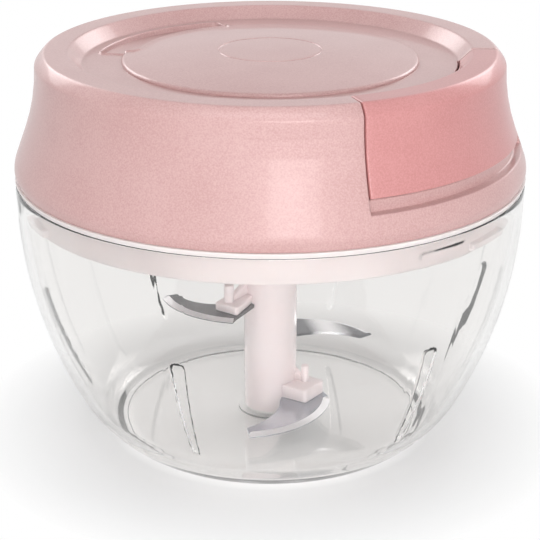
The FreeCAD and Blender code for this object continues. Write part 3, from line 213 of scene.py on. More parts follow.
def tube(path, radius, sides=12):
    """A round rod along a path: about each point a circle in the plane across the path's heading, its
    first axis level and its second across both. Both ends are capped."""
    heading = np.gradient(path, axis=0)
    heading /= np.linalg.norm(heading, axis=1)[:, None]
    level = np.cross(heading, (0, 0, 1))
    level /= np.linalg.norm(level, axis=1)[:, None]
    over = np.cross(level, heading)
    angle = np.linspace(0, 2 * math.pi, sides, endpoint=False)[None, :, None]
    rings = path[:, None] + radius * (np.cos(angle) * level[:, None] + np.sin(angle) * over[:, None])
    index = np.arange(len(path) * sides).reshape(len(path), sides)
    around = np.roll(index, -1, 1)
    faces = np.stack([index[:-1], index[1:], around[1:], around[:-1]], -1).reshape(-1, 4).tolist()
    return rings.reshape(-1, 3), faces + [index[0].tolist(), index[-1][::-1].tolist()]


def piece(name, shape, material, body, stands_for=(), sharp=38.0):
    """One object from a shape: doubles welded at seams and poles, shaded smooth but for edges sharper
    than `sharp` degrees, riding on its body. Without a body it is left free."""
    points, faces = shape
    mesh = bpy.data.meshes.new(name)
    mesh.from_pydata((points * 0.001).tolist(), [], faces)
    work = bmesh.new()
    work.from_mesh(mesh)
    bmesh.ops.remove_doubles(work, verts=work.verts, dist=4e-6)
    bmesh.ops.dissolve_degenerate(work, edges=work.edges, dist=1e-7)
    work.to_mesh(mesh)
    work.free()
    mesh.polygons.foreach_set("use_smooth", np.ones(len(mesh.polygons), bool))
    mesh.set_sharp_from_angle(angle=math.radians(sharp))
    made = bpy.data.objects.new(name, mesh)
    bpy.context.scene.collection.objects.link(made)
    mesh.materials.append(material)
    if body:
        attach(made, body)
    if stands_for:
        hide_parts(*stands_for)
    return made


# Finishes

def colour(code):
    """An sRGB hex colour as linear red, green, blue and alpha."""
    part = np.array([int(code[i:i + 2], 16) for i in (1, 3, 5)]) / 255
    linear = np.where(part <= 0.04045, part / 12.92, ((part + 0.055) / 1.055) ** 2.4)
    return (*linear.tolist(), 1.0)


def add(tree, kind, sockets, **settings):
    """Adds a node to a tree: settings are its own options, and each socket gets a value or a link."""
    node = tree.nodes.new("ShaderNode" + kind)
    for name, value in settings.items():
        setattr(node, name, value)
    for key, value in sockets.items():
        if isinstance(value, bpy.types.NodeSocket):
            tree.links.new(value, node.inputs[key])
        else:
            node.inputs[key].default_value = value
    return node


def new_finish(name):
    """An empty node tree for a finish, with its material."""
    material = bpy.data.materials.new(name)
    material.use_nodes = True
    material.node_tree.nodes.clear()
    return material, material.node_tree


def pearl_abs(name, deep, pale, metallic):
    """Injection-moulded ABS with pearl pigment: fine mica flakes lie along the face and give it a satin
    sheen under the polish of the mould. The flakes are about 0.05 mm and are drawn at 0.4 mm so that
    they show; the melt's flow gives faint clouds of 15 mm."""
    material, tree = new_finish(name)
    place = add(tree, "TexCoord", {}).outputs["Object"]
    flakes = add(tree, "TexNoise", {"Vector": place, "Scale": 2500.0, "Detail": 2.0})
    cloud = add(tree, "TexNoise", {"Vector": place, "Scale": 66.0, "Detail": 1.0})
    mixed = add(tree, "Math", {0: cloud.outputs["Fac"], 1: 0.35, 2: flakes.outputs["Fac"]},
                operation="MULTIPLY_ADD")
    share = add(tree, "MapRange", {"Value": mixed.outputs[0], "From Min": 0.5, "From Max": 0.85})
    tint = add(tree, "Mix", {"Factor": share.outputs[0], "A": colour(deep), "B": colour(pale)},
               data_type="RGBA")
    gloss = add(tree, "MapRange", {"Value": flakes.outputs["Fac"], "To Min": 0.34, "To Max": 0.44})
    bump = add(tree, "Bump", {"Height": flakes.outputs["Fac"], "Strength": 0.04, "Distance": 0.0002})
    shader = add(tree, "BsdfPrincipled", {
        "Base Color": tint.outputs["Result"], "Roughness": gloss.outputs[0],
        "Normal": bump.outputs[0], "Metallic": metallic, "Specular IOR Level": 0.35,
        "Coat Weight": 0.4, "Coat Roughness": 0.07})
    add(tree, "OutputMaterial", {"Surface": shader.outputs[0]})
    return material


def milky_plastic(name, deep, pale, scatter, roughness):
    """Translucent moulded plastic, such as unfilled polypropylene or acetal: light soaks in a few
    millimetres and comes out again beside it, so edges glow and shadows on it stay soft. The gloss
    is broken by a faint texture from the mould, 0.6 mm wide."""
    material, tree = new_finish(name)
    place = add(tree, "TexCoord", {}).outputs["Object"]
    grain = add(tree, "TexNoise", {"Vector": place, "Scale": 1600.0, "Detail": 2.0})
    cloud = add(tree, "TexNoise", {"Vector": place, "Scale": 90.0, "Detail": 1.0})
    tint = add(tree, "Mix", {"Factor": cloud.outputs["Fac"], "A": colour(deep), "B": colour(pale)},
               data_type="RGBA")
    gloss = add(tree, "MapRange", {"Value": grain.outputs["Fac"], "To Min": roughness - 0.04,
                                   "To Max": roughness + 0.06})
    bump = add(tree, "Bump", {"Height": grain.outputs["Fac"], "Strength": 0.05, "Distance": 0.0002})
    shader = add(tree, "BsdfPrincipled", {
        "Base Color": tint.outputs["Result"], "Roughness": gloss.outputs[0],
        "Normal": bump.outputs[0], "IOR": 1.49, "Coat Weight": 0.3, "Coat Roughness": 0.15,
        "Subsurface Weight": scatter, "Subsurface Radius": (0.005, 0.0045, 0.0043),
        "Subsurface Scale": 1.0})
    add(tree, "OutputMaterial", {"Surface": shader.outputs[0]})
    return material


def clear_san():
    """Clear SAN or polystyrene, moulded in a polished tool: it bends what is seen through it (IOR 1.57)
    and mirrors the room at a glance. The wall ripples very slightly over 25 mm where the melt flowed.
    Lamps reach through it, as they do through a thin clear wall."""
    material, tree = new_finish("clear_san_moulded")
    place = add(tree, "TexCoord", {}).outputs["Object"]
    ripple = add(tree, "TexNoise", {"Vector": place, "Scale": 40.0, "Detail": 1.0})
    bump = add(tree, "Bump", {"Height": ripple.outputs["Fac"], "Strength": 0.03, "Distance": 0.001})
    shader = add(tree, "BsdfPrincipled", {
        "Base Color": colour("#f6f5f4"), "Roughness": 0.012, "Normal": bump.outputs[0], "IOR": 1.57,
        "Transmission Weight": 1.0})
    through = add(tree, "BsdfTransparent", {"Color": colour("#fcfcfc")})
    path = add(tree, "LightPath", {})
    both = add(tree, "MixShader", {0: path.outputs["Is Shadow Ray"], 1: shader.outputs[0],
                                   2: through.outputs[0]})
    add(tree, "OutputMaterial", {"Surface": both.outputs[0]})
    return material


def rolled_steel(name, shade, roughness, stretch=(1.0, 1.0, 1.0), turn=0.0, metallic=1.0):
    """Bright metal, ground, rolled or turned in one direction: fine parallel scratches stretch the
    highlights along them. A soft light stripe every 24 mm along the frame's first axis is painted into
    the colour between the two shades, a painted highlight that stands in for the room's reflection; where
    the shades are close it barely shows. Scratches are 0.02 mm apart and are drawn at about 0.3 mm;
    `stretch` lengthens the pattern along each axis of a frame turned about the vertical."""
    material, tree = new_finish(name)
    place = add(tree, "TexCoord", {}).outputs["Object"]
    turned = add(tree, "Mapping", {"Vector": place, "Rotation": (0.0, 0.0, math.radians(turn)),
                                   "Scale": stretch}, vector_type="TEXTURE")
    scratch = add(tree, "TexNoise", {"Vector": turned.outputs[0], "Scale": 3000.0, "Detail": 3.0})
    # painted highlight: a sine along the first axis mixes the two shades into a light stripe every 24 mm
    along = add(tree, "SeparateXYZ", {"Vector": turned.outputs[0]})
    wave = add(tree, "Math", {0: along.outputs["X"], 1: 262.0 * stretch[0], 2: -3.15},
               operation="MULTIPLY_ADD")
    painted_band = add(tree, "Math", {0: wave.outputs[0]}, operation="SINE")
    share = add(tree, "MapRange", {"Value": painted_band.outputs[0], "From Min": 0.1, "From Max": 1.0})
    tint = add(tree, "Mix", {"Factor": share.outputs[0], "A": colour(shade[0]), "B": colour(shade[1])},
               data_type="RGBA")
    gloss = add(tree, "MapRange", {"Value": scratch.outputs["Fac"], "To Min": roughness - 0.06,
                                   "To Max": roughness + 0.08})
    bump = add(tree, "Bump", {"Height": scratch.outputs["Fac"], "Strength": 0.06, "Distance": 0.0001})
    shader = add(tree, "BsdfPrincipled", {
        "Base Color": tint.outputs["Result"], "Roughness": gloss.outputs[0],
        "Normal": bump.outputs[0], "Metallic": metallic})
    add(tree, "OutputMaterial", {"Surface": shader.outputs[0]})
    return material


def braided_nylon():
    """Round braided nylon cord: four strands wind round it each way, so it shows small diamonds about
    0.9 mm long, with a soft sheen. Read from the cord's own length and turn, stored on its points."""
    material, tree = new_finish("braided_nylon_cord")
    strand = add(tree, "Attribute", {}, attribute_name="strand")
    parts = add(tree, "SeparateXYZ", {"Vector": strand.outputs["Vector"]})
    waves = []
    for side in (1.0, -1.0):
        lean = add(tree, "Math", {0: parts.outputs["Y"], 1: side * 4.0, 2: parts.outputs["X"]},
                   operation="MULTIPLY_ADD")
        waves.append(add(tree, "Math", {0: lean.outputs[0]}, operation="SINE"))
    weave = add(tree, "Math", {0: waves[0].outputs[0], 1: waves[1].outputs[0]}, operation="MULTIPLY")
    tint = add(tree, "MapRange", {"Value": weave.outputs[0], "From Min": -1.0})
    shade = add(tree, "Mix", {"Factor": tint.outputs[0], "A": colour("#cfc6c3"), "B": colour("#f6f1ee")},
                data_type="RGBA")
    bump = add(tree, "Bump", {"Height": weave.outputs[0], "Strength": 0.5, "Distance": 0.0002})
    shader = add(tree, "BsdfPrincipled", {
        "Base Color": shade.outputs["Result"], "Roughness": 0.62, "Normal": bump.outputs[0],
        "Sheen Weight": 0.3})
    add(tree, "OutputMaterial", {"Surface": shader.outputs[0]})
    return material


PEARL_LID = pearl_abs("pearl_pink_abs", "#c09795", "#cca7a5", 0.08)
PEARL_HANDLE = pearl_abs("pearl_rose_abs", "#c08180", "#cb8e8d", 0.08)
SKIRT_PINK = milky_plastic("milky_pink_polypropylene", "#ebdddc", "#f2e6e5", 0.5, 0.3)
COLUMN_PINK = milky_plastic("milky_pink_column", "#fce8e9", "#fff2f2", 0.4, 0.24)
ACETAL = milky_plastic("natural_acetal", "#ece6e2", "#f4efec", 0.25, 0.4)
SILICONE = milky_plastic("white_silicone", "#ebe0de", "#f2e9e7", 0.35, 0.5)
CLEAR = clear_san()
# the two shades of each blade, painted light and shade on one steel: the upper one dark as painted
# shade under the lid, the middle one from dark to near white for its painted highlight stripe, the
# lower one pale; and the azimuth that it is ground along
BLADE_PAINTED_SHADES = {"lower": (("#adb0b8", "#c8cbd2"), -100.5), "middle": (("#707175", "#f6f6f8"), 14.5),
                "upper": (("#5f5f61", "#7c7c7e"), 180.0)}
BLADE_STEEL = {level: rolled_steel("rolled_blade_steel_" + level, shade, 0.2, (16.0, 1.0, 1.0), turn,
                                   0.75)
               for level, (shade, turn) in BLADE_PAINTED_SHADES.items()}
# the bevels' near-white colour is partly their satin grind and partly a painted highlight
BEVEL_GRIND_AND_SHEEN = rolled_steel("ground_bevel_steel", ("#ececee", "#f4f4f6"), 0.3, (1.0, 1.0, 10.0), 0.0, 0.3)
ZINC_STEEL = rolled_steel("zinc_plated_steel", ("#b9bbbf", "#cfd1d4"), 0.3, (1.0, 1.0, 5.0))
SPRING_STEEL = rolled_steel("blued_spring_steel", ("#6d7077", "#868a91"), 0.28, (1.0, 1.0, 10.0))
BRASS = rolled_steel("plated_brass", ("#c9b27a", "#d9c48e"), 0.28, (1.0, 1.0, 5.0))
CORD = braided_nylon()


# Bowl. Its wall has two arcs, given as the centre's radius and height and the arc's own radius.

BULGE = (-48, 66, 113)
HEEL = (20.51, 28.73, 35)


def wall_radius(z, depth):
    """Radius of the bowl's wall at a height, `depth` below its outer face. On each arc it is the
    centre's radius plus the root of the arc's radius squared less the height off the centre squared.
    The rim is straight above the bulge's centre, and the heel's arc ends 16.73 mm under its own."""
    bulge = BULGE[0] + np.sqrt((BULGE[2] - depth) ** 2 - np.clip(BULGE[1] - z, 0, None) ** 2)
    heel = HEEL[0] + np.sqrt(np.clip((HEEL[2] - depth) ** 2 - (HEEL[1] - z) ** 2, 0, None))
    join = HEEL[1] - 16.73 * (HEEL[2] - depth) / HEEL[2]
    return np.where(z >= join, bulge, heel)


def bowl_shape():
    """The bowl's profile stood round the axis. Each fin lifts the inner wall by 1.1 mm with a flat top,
    about 1.5 mm wide at its foot and 3.8 mm at its head, and short soft sides and ends. Each lug lifts
    it by 0.35 mm inside a soft box of 13 degrees by 1.6 mm."""
    wall, fin_rise, lug_rise = 2.2, 1.1, 0.35
    first_fin, fin_gap = -51, 60
    outside = eased(trace([(0, 0.4), (39.2, 0.4), (39.2, 0.0), (40.49, 0.0, HEEL[2], 1),
                           (51.27, 12.0, BULGE[2], 1), (65, BULGE[1]), (65, 69), (62.8, 69),
                           (62.8, 67.2)], False, 3.0, 2.5), 0.3, False)
    rows = np.concatenate([
        np.linspace(66.9, 63.3, 13), np.linspace(62, 42, 14), np.linspace(41, 37.4, 15),
        np.linspace(36.6, 14.6, 20), np.linspace(14, 11, 11), np.linspace(10, 3.6, 9)])
    inside = np.stack([wall_radius(rows, wall) + 1.5 * (1 - smooth(rows, 2.8, 8)), rows], 1)
    floor = eased(trace([(float(wall_radius(np.array(3.1), wall)) + 1.45, 3.1), (41.9, 2.8), (8.6, 2.8),
                         (8.6, 3.15), (2.02, 3.15), (2.02, 1.0), (0, 1.0)], False, 4.0), 0.3, False)
    profile = np.concatenate([outside, inside, floor])

    fin_sides = np.array([0, 0.4, 0.65, 0.8, 0.95, 1.1, 1.25, 1.4, 1.55, 1.7, 1.85, 2.0, 2.15, 2.35, 2.7])
    lug_sides = np.array([5.4, 5.9, 6.5, 7.1, 7.6])
    azimuths = np.unique(np.concatenate([
        ring_of(3.0, first_fin + fin_gap * np.arange(6), np.concatenate([-fin_sides, fin_sides])),
        ring_of(90, BOWL_LUG_AZIMUTHS, np.concatenate([-lug_sides, lug_sides]))]))

    r, z = inside.T
    from_fin = (azimuths[:, None] - first_fin + fin_gap / 2) % fin_gap - fin_gap / 2
    lateral = np.abs(from_fin) * np.radians(1) * r[None]
    half = 0.55 + 1.15 * np.clip((z - 12.0) / 29, 0, 1)
    round_end = np.sqrt(np.clip(1 - np.clip((z - 38.4) / 1.9, 0, 1) ** 2, 0.0025, 1))
    bell = 1 - smooth(lateral - (half * round_end)[None], -0.15, 0.4)
    ends = smooth(z, 11.6, 14.6) * (1 - smooth(z, 39.6, 40.5))
    lug = sum(1 - smooth(np.abs(away_from(azimuths, centre)), 5.4, 7.6) for centre in BOWL_LUG_AZIMUTHS)
    shelf = smooth(z, 62.8, 65.2) * (1 - smooth(z, 65.4, 66.9))
    profiles = np.repeat(profile[None], len(azimuths), 0)
    lifted = slice(len(outside), len(outside) + len(inside))
    profiles[:, lifted, 0] -= fin_rise * bell * ends[None] + lug_rise * lug[:, None] * shelf[None]
    return stood_round(azimuths, profiles, closed=False)


# Lid

def side_line(depth):
    """Corners of the lid's flared side below its face: the round over the widest place, the 20.4 degree
    slope, the hollow curve and the shoulder, each moved `depth` along its normal."""
    slope, draft = math.radians(20.4), math.radians(0.5)
    return {
        "widest": (65.1 - depth, 72.4, 8.033 - depth, 1),
        "low": (64.596 - depth * math.cos(slope), 75.2 - depth * math.sin(slope)),
        "high": (61.993 - depth * math.cos(slope), 82.2 - depth * math.sin(slope)),
        "hollow": 49.14 + depth,
        "shoulder": (58.913 - depth * math.cos(draft), 98.9 - depth * math.sin(draft)),
    }


def edge_inset(distance, radius=0.45):
    """How far a quarter round of this radius stands below the face at a distance from the edge."""
    near = np.clip(1 - distance / radius, 0, 1)
    return radius * (1 - np.sqrt(1 - near ** 2))


def rim_face(start):
    """The lid's face from a starting corner up the flare, over the crown and down to the ring floor."""
    side = side_line(0)
    return start + [(*side["high"], side["hollow"], -1), (*side["shoulder"], 12.0, 1), (56.6, 101.7),
                    (50.5, 101.7)]


def ring_floor_and_dome():
    """The sunk ring's floor, the quarter-round bead at the dome's edge and the dome, whose height falls
    by the radius squared over twice its own radius, with a fine round groove 0.25 mm deep."""
    floor, bead_at, bead, groove_at, dome_top, dome_radius = 98.5, 36.5, 0.9, 12.9, 101.3, 351.5
    r = np.concatenate([np.linspace(46.2, 44.6, 5), np.linspace(44.3, 43.3, 9), np.linspace(42.8, 37.6, 10),
                        bead_at + bead * np.cos(np.radians([0, 15, 30, 45, 60, 75])),
                        np.linspace(bead_at, 35, 4), np.linspace(34.7, 33.7, 9), np.linspace(33, 14, 10),
                        [13.3, 13.15, 13.05, 12.95, 12.85, 12.75, 12.65, 12.5],
                        np.linspace(11.5, 0, 7)])
    dome = dome_top - r ** 2 / (2 * dome_radius) - 0.25 * (1 - smooth(np.abs(r - groove_at), 0.08, 0.3))
    ring = floor + np.sqrt(np.clip(bead ** 2 - (r - bead_at) ** 2, 0, None))
    return np.stack([r, np.where(r > bead_at, ring, dome)], 1)


def inward_of(line):
    """Unit vectors square to an open line, on the left of its way, where its solid is."""
    steps = np.gradient(line, axis=0)
    return np.stack([-steps[:, 1], steps[:, 0]], 1) / np.hypot(*steps.T)[:, None]


def thumb_recess(azimuths, crown):
    """The crown with its recess for the thumb: it drops to 97.6 mm inside a rounded sector behind the
    left side, with a fine bead of 0.4 mm along its edge. How far a point stands outside the sector is
    worked out as for a box with round corners, with the arc at the middle radius as its length."""
    middle, half_width, corner, depth = 39.0, 4.8, 1.6, 97.6
    r, height = crown[..., 0], crown[..., 1]
    reach = np.radians(away_from(azimuths, THUMB_AZIMUTH))[:, None] * middle
    over = np.stack(np.broadcast_arrays(np.abs(reach) - (np.radians(THUMB_HALF) * middle - corner),
                                        np.abs(r - middle) - (half_width - corner)))
    outside = np.hypot(*np.clip(over, 0, None)) + np.minimum(over.max(0), 0) - corner
    sunk = smooth(-outside, -0.1, 0.25)
    bead = 0.4 * (1 - smooth(np.abs(outside - 0.4), 0.05, 0.5)) * (r < 44.4)
    return np.stack([r, height - sunk * np.clip(height - depth, 0, None) + bead], -1)


def lid_shape():
    """Profiles of the lid stood round the axis. Plain ones follow the flared face and its inner skin;
    those of the handle's bay go in over its groove and sill and up its back wall instead. Both have as
    many points, and a pair at one azimuth makes the bay's upright side walls."""
    side, skin = side_line(0), side_line(2.2)
    core = trace([(0, 74.5), (4.6, 74.5), (4.6, 94.2), (6.4, 94.2), (6.4, 97.2), (34.4, 97.2),
                  (34.4, 96.3)], False, 6.0)
    plain_under = evenly(trace([
        (34.6, 96.3), (48.1, 96.3), (51.4, 99.5), (55.5, 99.5), (*skin["shoulder"], skin["hollow"], 1),
        skin["high"], skin["low"], (61.4, 73.3), (61.4, 70.5)], False), 60)
    bay_under = evenly(trace([(34.6, 96.3), (44.9, 96.3), (44.9, 75.4), (62.17, 75.4), skin["low"],
                              (61.4, 73.3), (61.4, 70.5)], False), 60)
    rim = eased(trace([(61.4, 70.45), (61.4, 70.3), (64.5, 70.3), side["widest"][:2]], False), 0.25, False)
    plain = evenly(eased(trace(rim_face([side["widest"], side["low"]]) + [(47.2, 98.5), (46.5, 98.5)],
                               False), 0.35, False), 170)[1:]
    bay = evenly(eased(trace([side["widest"], side["low"], (63.778, 77.4), (61.4, 77.4), (61.4, 80.4),
                              (59.6, 80.4), (59.6, 77.4), (46.9, 77.4), (46.9, 98.5), (46.5, 98.5)],
                             False), 0.35, False), 170)[1:]
    crown = ring_floor_and_dome()

    # rows of azimuth, 1 for a bay face, 1 for a bay underside, and the distance from the bay's edge
    block, far = BAY_HALF + 2.44, 9.0
    thumb_ends = THUMB_AZIMUTH + np.array([[-1], [1]]) * (THUMB_HALF + np.linspace(-2.4, 0.4, 9))
    free = np.arange(HANDLE_AZIMUTH + block + 1, HANDLE_AZIMUTH + 360 - block, 1.5)
    free = np.unique(np.round(np.concatenate([free, thumb_ends.ravel()]), 4))
    table = [(azimuth, 0, 0, far) for azimuth in free]
    for sign in (-1, 1):
        table += [(HANDLE_AZIMUTH + sign * block, 0, under, far) for under in (0, 1)]
        table += [(HANDLE_AZIMUTH + sign * (BAY_HALF + step), 0, 1, np.radians(step) * FLARE_RADIUS)
                  for step in EDGE_STEPS]
        table.append((HANDLE_AZIMUTH + sign * BAY_HALF, 1, 1, far))
    inner = np.arange(-BAY_HALF + 1.2, BAY_HALF - 1, 1.5)
    table += [(HANDLE_AZIMUTH + turn, 1, 1, far) for turn in inner]
    table = np.array(table)
    swing = away_from(table[:, 0], HANDLE_AZIMUTH)
    # at one azimuth the order goes from outside the bay to inside it before its middle, and back after
    rank = (table[:, 1] + table[:, 2]) * np.where(swing < 0, 1, -1)
    table = table[np.lexsort((rank, np.round(swing, 5)))]

    in_bay, under_bay = table[:, 1, None, None] > 0, table[:, 2, None, None] > 0
    inset = edge_inset(table[:, 3])[:, None, None]
    share = np.arange(len(plain)) / (len(plain) - 1)
    weight = smooth(plain[:, 1], 77.2, 78.4) * (1 - smooth(share, 0.93, 0.99))
    drawn_in = plain[None] + inward_of(plain)[None] * inset * weight[None, :, None]
    core, rim, crown = [np.repeat(part[None], len(table), 0) for part in (core, rim, crown)]
    profiles = np.concatenate([
        core, np.where(under_bay, bay_under[None], plain_under[None]), rim,
        np.where(in_bay, bay[None], drawn_in), thumb_recess(table[:, 0], crown)], 1)
    return stood_round(table[:, 0], profiles, closed=False)


def bored(made, radius, start, stop):
    """The piece with a round bore cut along a line, left as plain mesh."""
    points, faces = tube(np.linspace(start, stop, 4), radius, 28)
    mesh = bpy.data.meshes.new("bore")
    mesh.from_pydata((points * 0.001).tolist(), [], faces)
    cutter = bpy.data.objects.new("bore", mesh)
    bpy.context.scene.collection.objects.link(cutter)
    cut = made.modifiers.new("bore", "BOOLEAN")
    cut.operation, cut.object, cut.solver = "DIFFERENCE", cutter, "EXACT"
    solved = bpy.context.evaluated_depsgraph_get()
    result = bpy.data.meshes.new_from_object(made.evaluated_get(solved))
    made.modifiers.remove(cut)
    made.data = result
    bpy.data.objects.remove(cutter)


def radial(radius, azimuth, height):
    """A point at a radius, an azimuth and a height."""
    angle = math.radians(azimuth)
    return np.array((radius * math.cos(angle), radius * math.sin(angle), height))


def handle_shape():
    """Profiles of the handle's shell stood round its sector: hollow ones between its side walls, solid
    ones in them, with the face drawn in by a small round towards both ends, and its two screw posts."""
    side_wall = 2.6
    skin = side_line(2.4)
    foot = (62.476, 80.9)
    face = evenly(eased(trace(rim_face([foot]) + [(47.3, 98.6), (47.3, 96.4), (49.2, 96.4)], False),
                        0.35, False), 110)
    hollow = evenly(trace([(49.2, 96.4), (51.7, 99.3), (55.4, 99.3),
                           (*skin["shoulder"], skin["hollow"], 1), skin["high"], (59.916, 80.9), foot],
                          False), 50)[1:-1]
    solid = evenly(trace([(49.2, 96.4), (49.2, 80.9), foot], False), 50)[1:-1]
    wall = HANDLE_HALF - side_wall
    end = np.concatenate([HANDLE_HALF - EDGE_STEPS, [HANDLE_HALF - 1.4, wall]])
    open_part = np.concatenate([[-wall], np.arange(-wall + 1, wall, 1.5), [wall]])
    swing = np.concatenate([-end, open_part, end[::-1]])
    is_open = np.zeros(len(swing), bool)
    is_open[len(end): -len(end)] = True
    inset = edge_inset(np.radians(HANDLE_HALF - np.abs(swing)) * FLARE_RADIUS)[:, None, None]
    faces = face[None] + inward_of(face)[None] * inset
    inner = np.where(is_open[:, None, None], hollow[None], solid[None])
    shapes = [stood_round(HANDLE_AZIMUTH + swing, np.concatenate([faces, inner], 1), whole=False)]
    for turn in (-24, 24):
        azimuth = HANDLE_AZIMUTH + turn
        path = radial(49.3, azimuth, 92.5) + radial(1, azimuth, 0) * np.array([[0], [4.0], [8.4]])
        shapes.append(tube(path, 2.6, 24))
    return together(shapes)


def inner_lid_shape():
    """The plate, skirt and collar in one profile. Each lug lifts the skirt's outer face by 1.2 mm inside
    a box of 13 degrees by 1.9 mm."""
    low = eased(trace([(11.42, 60.6), (13.4, 60.6), (13.4, 66), (59.3, 66), (59.3, 61.9), (61.3, 61.9),
                       (61.3, 62.3)], False, 5.0), 0.35, False)
    rows = np.array([62.45, 62.55, 62.7, 62.9, 64.2, 64.4, 64.5, 64.65, 65.5, 68, 70.5, 71.1])
    skirt = np.stack([np.full(len(rows), 61.3), rows], 1)
    high = eased(trace([(61.3, 71.2), (61.3, 71.5), (59.3, 71.5), (59.3, 68), (13.4, 68), (13.4, 70),
                        (11.42, 70), (11.42, 60.9)], False, 5.0), 0.3, False)
    azimuths = ring_of(3.0, LUG_AZIMUTHS, (-6.75, -6.6, -6.4, -6.2, 6.2, 6.4, 6.6, 6.75))
    lug = sum(1 - smooth(np.abs(away_from(azimuths, centre)), 6.25, 6.6) for centre in LUG_AZIMUTHS)
    shelf = smooth(rows, 62.5, 62.8) * (1 - smooth(rows, 64.3, 64.55))
    profile = np.concatenate([low, skirt, high])
    profiles = np.repeat(profile[None], len(azimuths), 0)
    profiles[:, len(low): len(low) + len(rows), 0] += 1.2 * lug[:, None] * shelf[None]
    return stood_round(azimuths, profiles)


def plain_ring(corners, ease=0.25, step=3.0, closed=True, turn=5.0):
    """A profile with eased corners stood once round."""
    line = eased(trace(corners, closed, 4.0, turn), ease, closed)
    return stood_round(np.arange(0, 360, step), line, closed=closed)


# Blade set. Each level: blade azimuth, blade top, arm azimuth, arm thickness and plan corners as
# (along, side), and the post's radius, reach and side. The arm stands on the blade's top.

LEVELS = {
    "lower": (-100.5, 8.0, -36.9, 3.6, [(4.35, -3.4), (13.6, -2.6), (13.6, 6.0), (4.35, 6.2)],
              (1.0, 9.7, 2.6)),
    "middle": (14.5, 21.0, 78.1, 2.4, [(4.35, -4.2), (13.6, -3.0), (13.6, 5.0), (4.35, 6.2)],
               (1.2, 10.4, 1.4)),
    "upper": (180.0, 34.5, -126.3, 2.2, [(4.35, -6.3), (16.2, -6.1), (16.2, 1.3), (4.35, -1.4)],
              (1.3, 13.6, -3.3)),
}
# plan corners of each blade from its heel to its root, and the inner edge's radius
WIDE_HEEL = ([(3.4, 16.85), (0.3, 14.5), (-3.2, 12.1), (-3.2, 4.1, 5.2, -1), (3.2, 4.1)], 18.5)
SLIM_HEEL = ([(9.6, 16.8), (8.7, 14.5), (4.2, 6.0), (4.4, 4.4)], 12.0)
HEELS = {"lower": WIDE_HEEL, "middle": WIDE_HEEL, "upper": SLIM_HEEL}
STRIP = 0.8  # thickness of the blades
BEVEL_DROP = 0.55  # how far the bevel falls to the cutting edge


def column_shape():
    """The tube's profile stood round, clamped down to the slots' floor inside two sectors of 50 degrees,
    and at each level an arm as a slab, a post turned with a round top and a web as an upright slab."""
    slot_centres, slot_half, slot_floor, bore = (-8.0, 172.0), 25, 51.7, 4.35
    profile = trace([(0, 40), (bore, 40), (bore, 3.8), (6.45, 3.8), (6.8, 3.93), (7.05, 4.4),
                     (7.05, slot_floor), (7.05, 57.1), (6.9, 57.45), (6.5, 57.6), (5.1, 57.6),
                     (4.85, 57.4), (4.85, slot_floor), (4.85, 44), (0, 44)], False, 60.0)
    borders = np.round(np.add.outer(slot_centres, (-slot_half, slot_half)).ravel() % 360, 4)
    azimuths = np.unique(np.concatenate([np.arange(0, 360, 5.0), borders]))
    doubled = np.repeat(azimuths, np.where(np.isin(azimuths, borders), 2, 1))

    def from_slot(azimuth):
        """Angle to the middle of the nearer slot."""
        return np.min([np.abs(away_from(azimuth, centre)) for centre in slot_centres], 0)

    cut = from_slot(doubled) < slot_half - 0.01
    # of a pair at one azimuth, the member on the slot's side is cut
    pairs = np.flatnonzero(np.diff(doubled) == 0)
    slot_begins = from_slot(doubled[pairs] - 1) > slot_half
    cut[pairs + 1], cut[pairs] = slot_begins, ~slot_begins
    profiles = np.repeat(profile[None], len(doubled), 0)
    profiles[cut, :, 1] = np.minimum(profiles[cut, :, 1], slot_floor)

    shapes = [stood_round(doubled, profiles, closed=False)]
    for _, height, azimuth, thick, corners, (post_radius, reach, side) in LEVELS.values():
        along, across = radial(1, azimuth, 0), radial(1, azimuth + 90, 0)
        top = height + thick
        outline = eased(trace(corners, gap=1.5), 0.9)
        shapes.append(placed(slab(outline, height, top, 0.35), (0, 0, 0), along, across))
        post = eased(trace([(0, -0.3), (post_radius, -0.3), (post_radius, 4.8), (0, 4.8)], False),
                     0.4, False)
        turned = stood_round(np.arange(0, 360, 15), post, closed=False)
        shapes.append(placed(turned, along * reach + across * side + (0, 0, top), along, across))
        web = eased(trace([(4.4, top - 0.5), (reach, top - 0.5), (reach, top + 0.9), (4.4, top + 4.4)],
                          gap=1.5), 0.4)
        shapes.append(placed(slab(web, -0.75, 0.75, 0.25), across * side, along, (0, 0, 1)))
    return together(shapes)


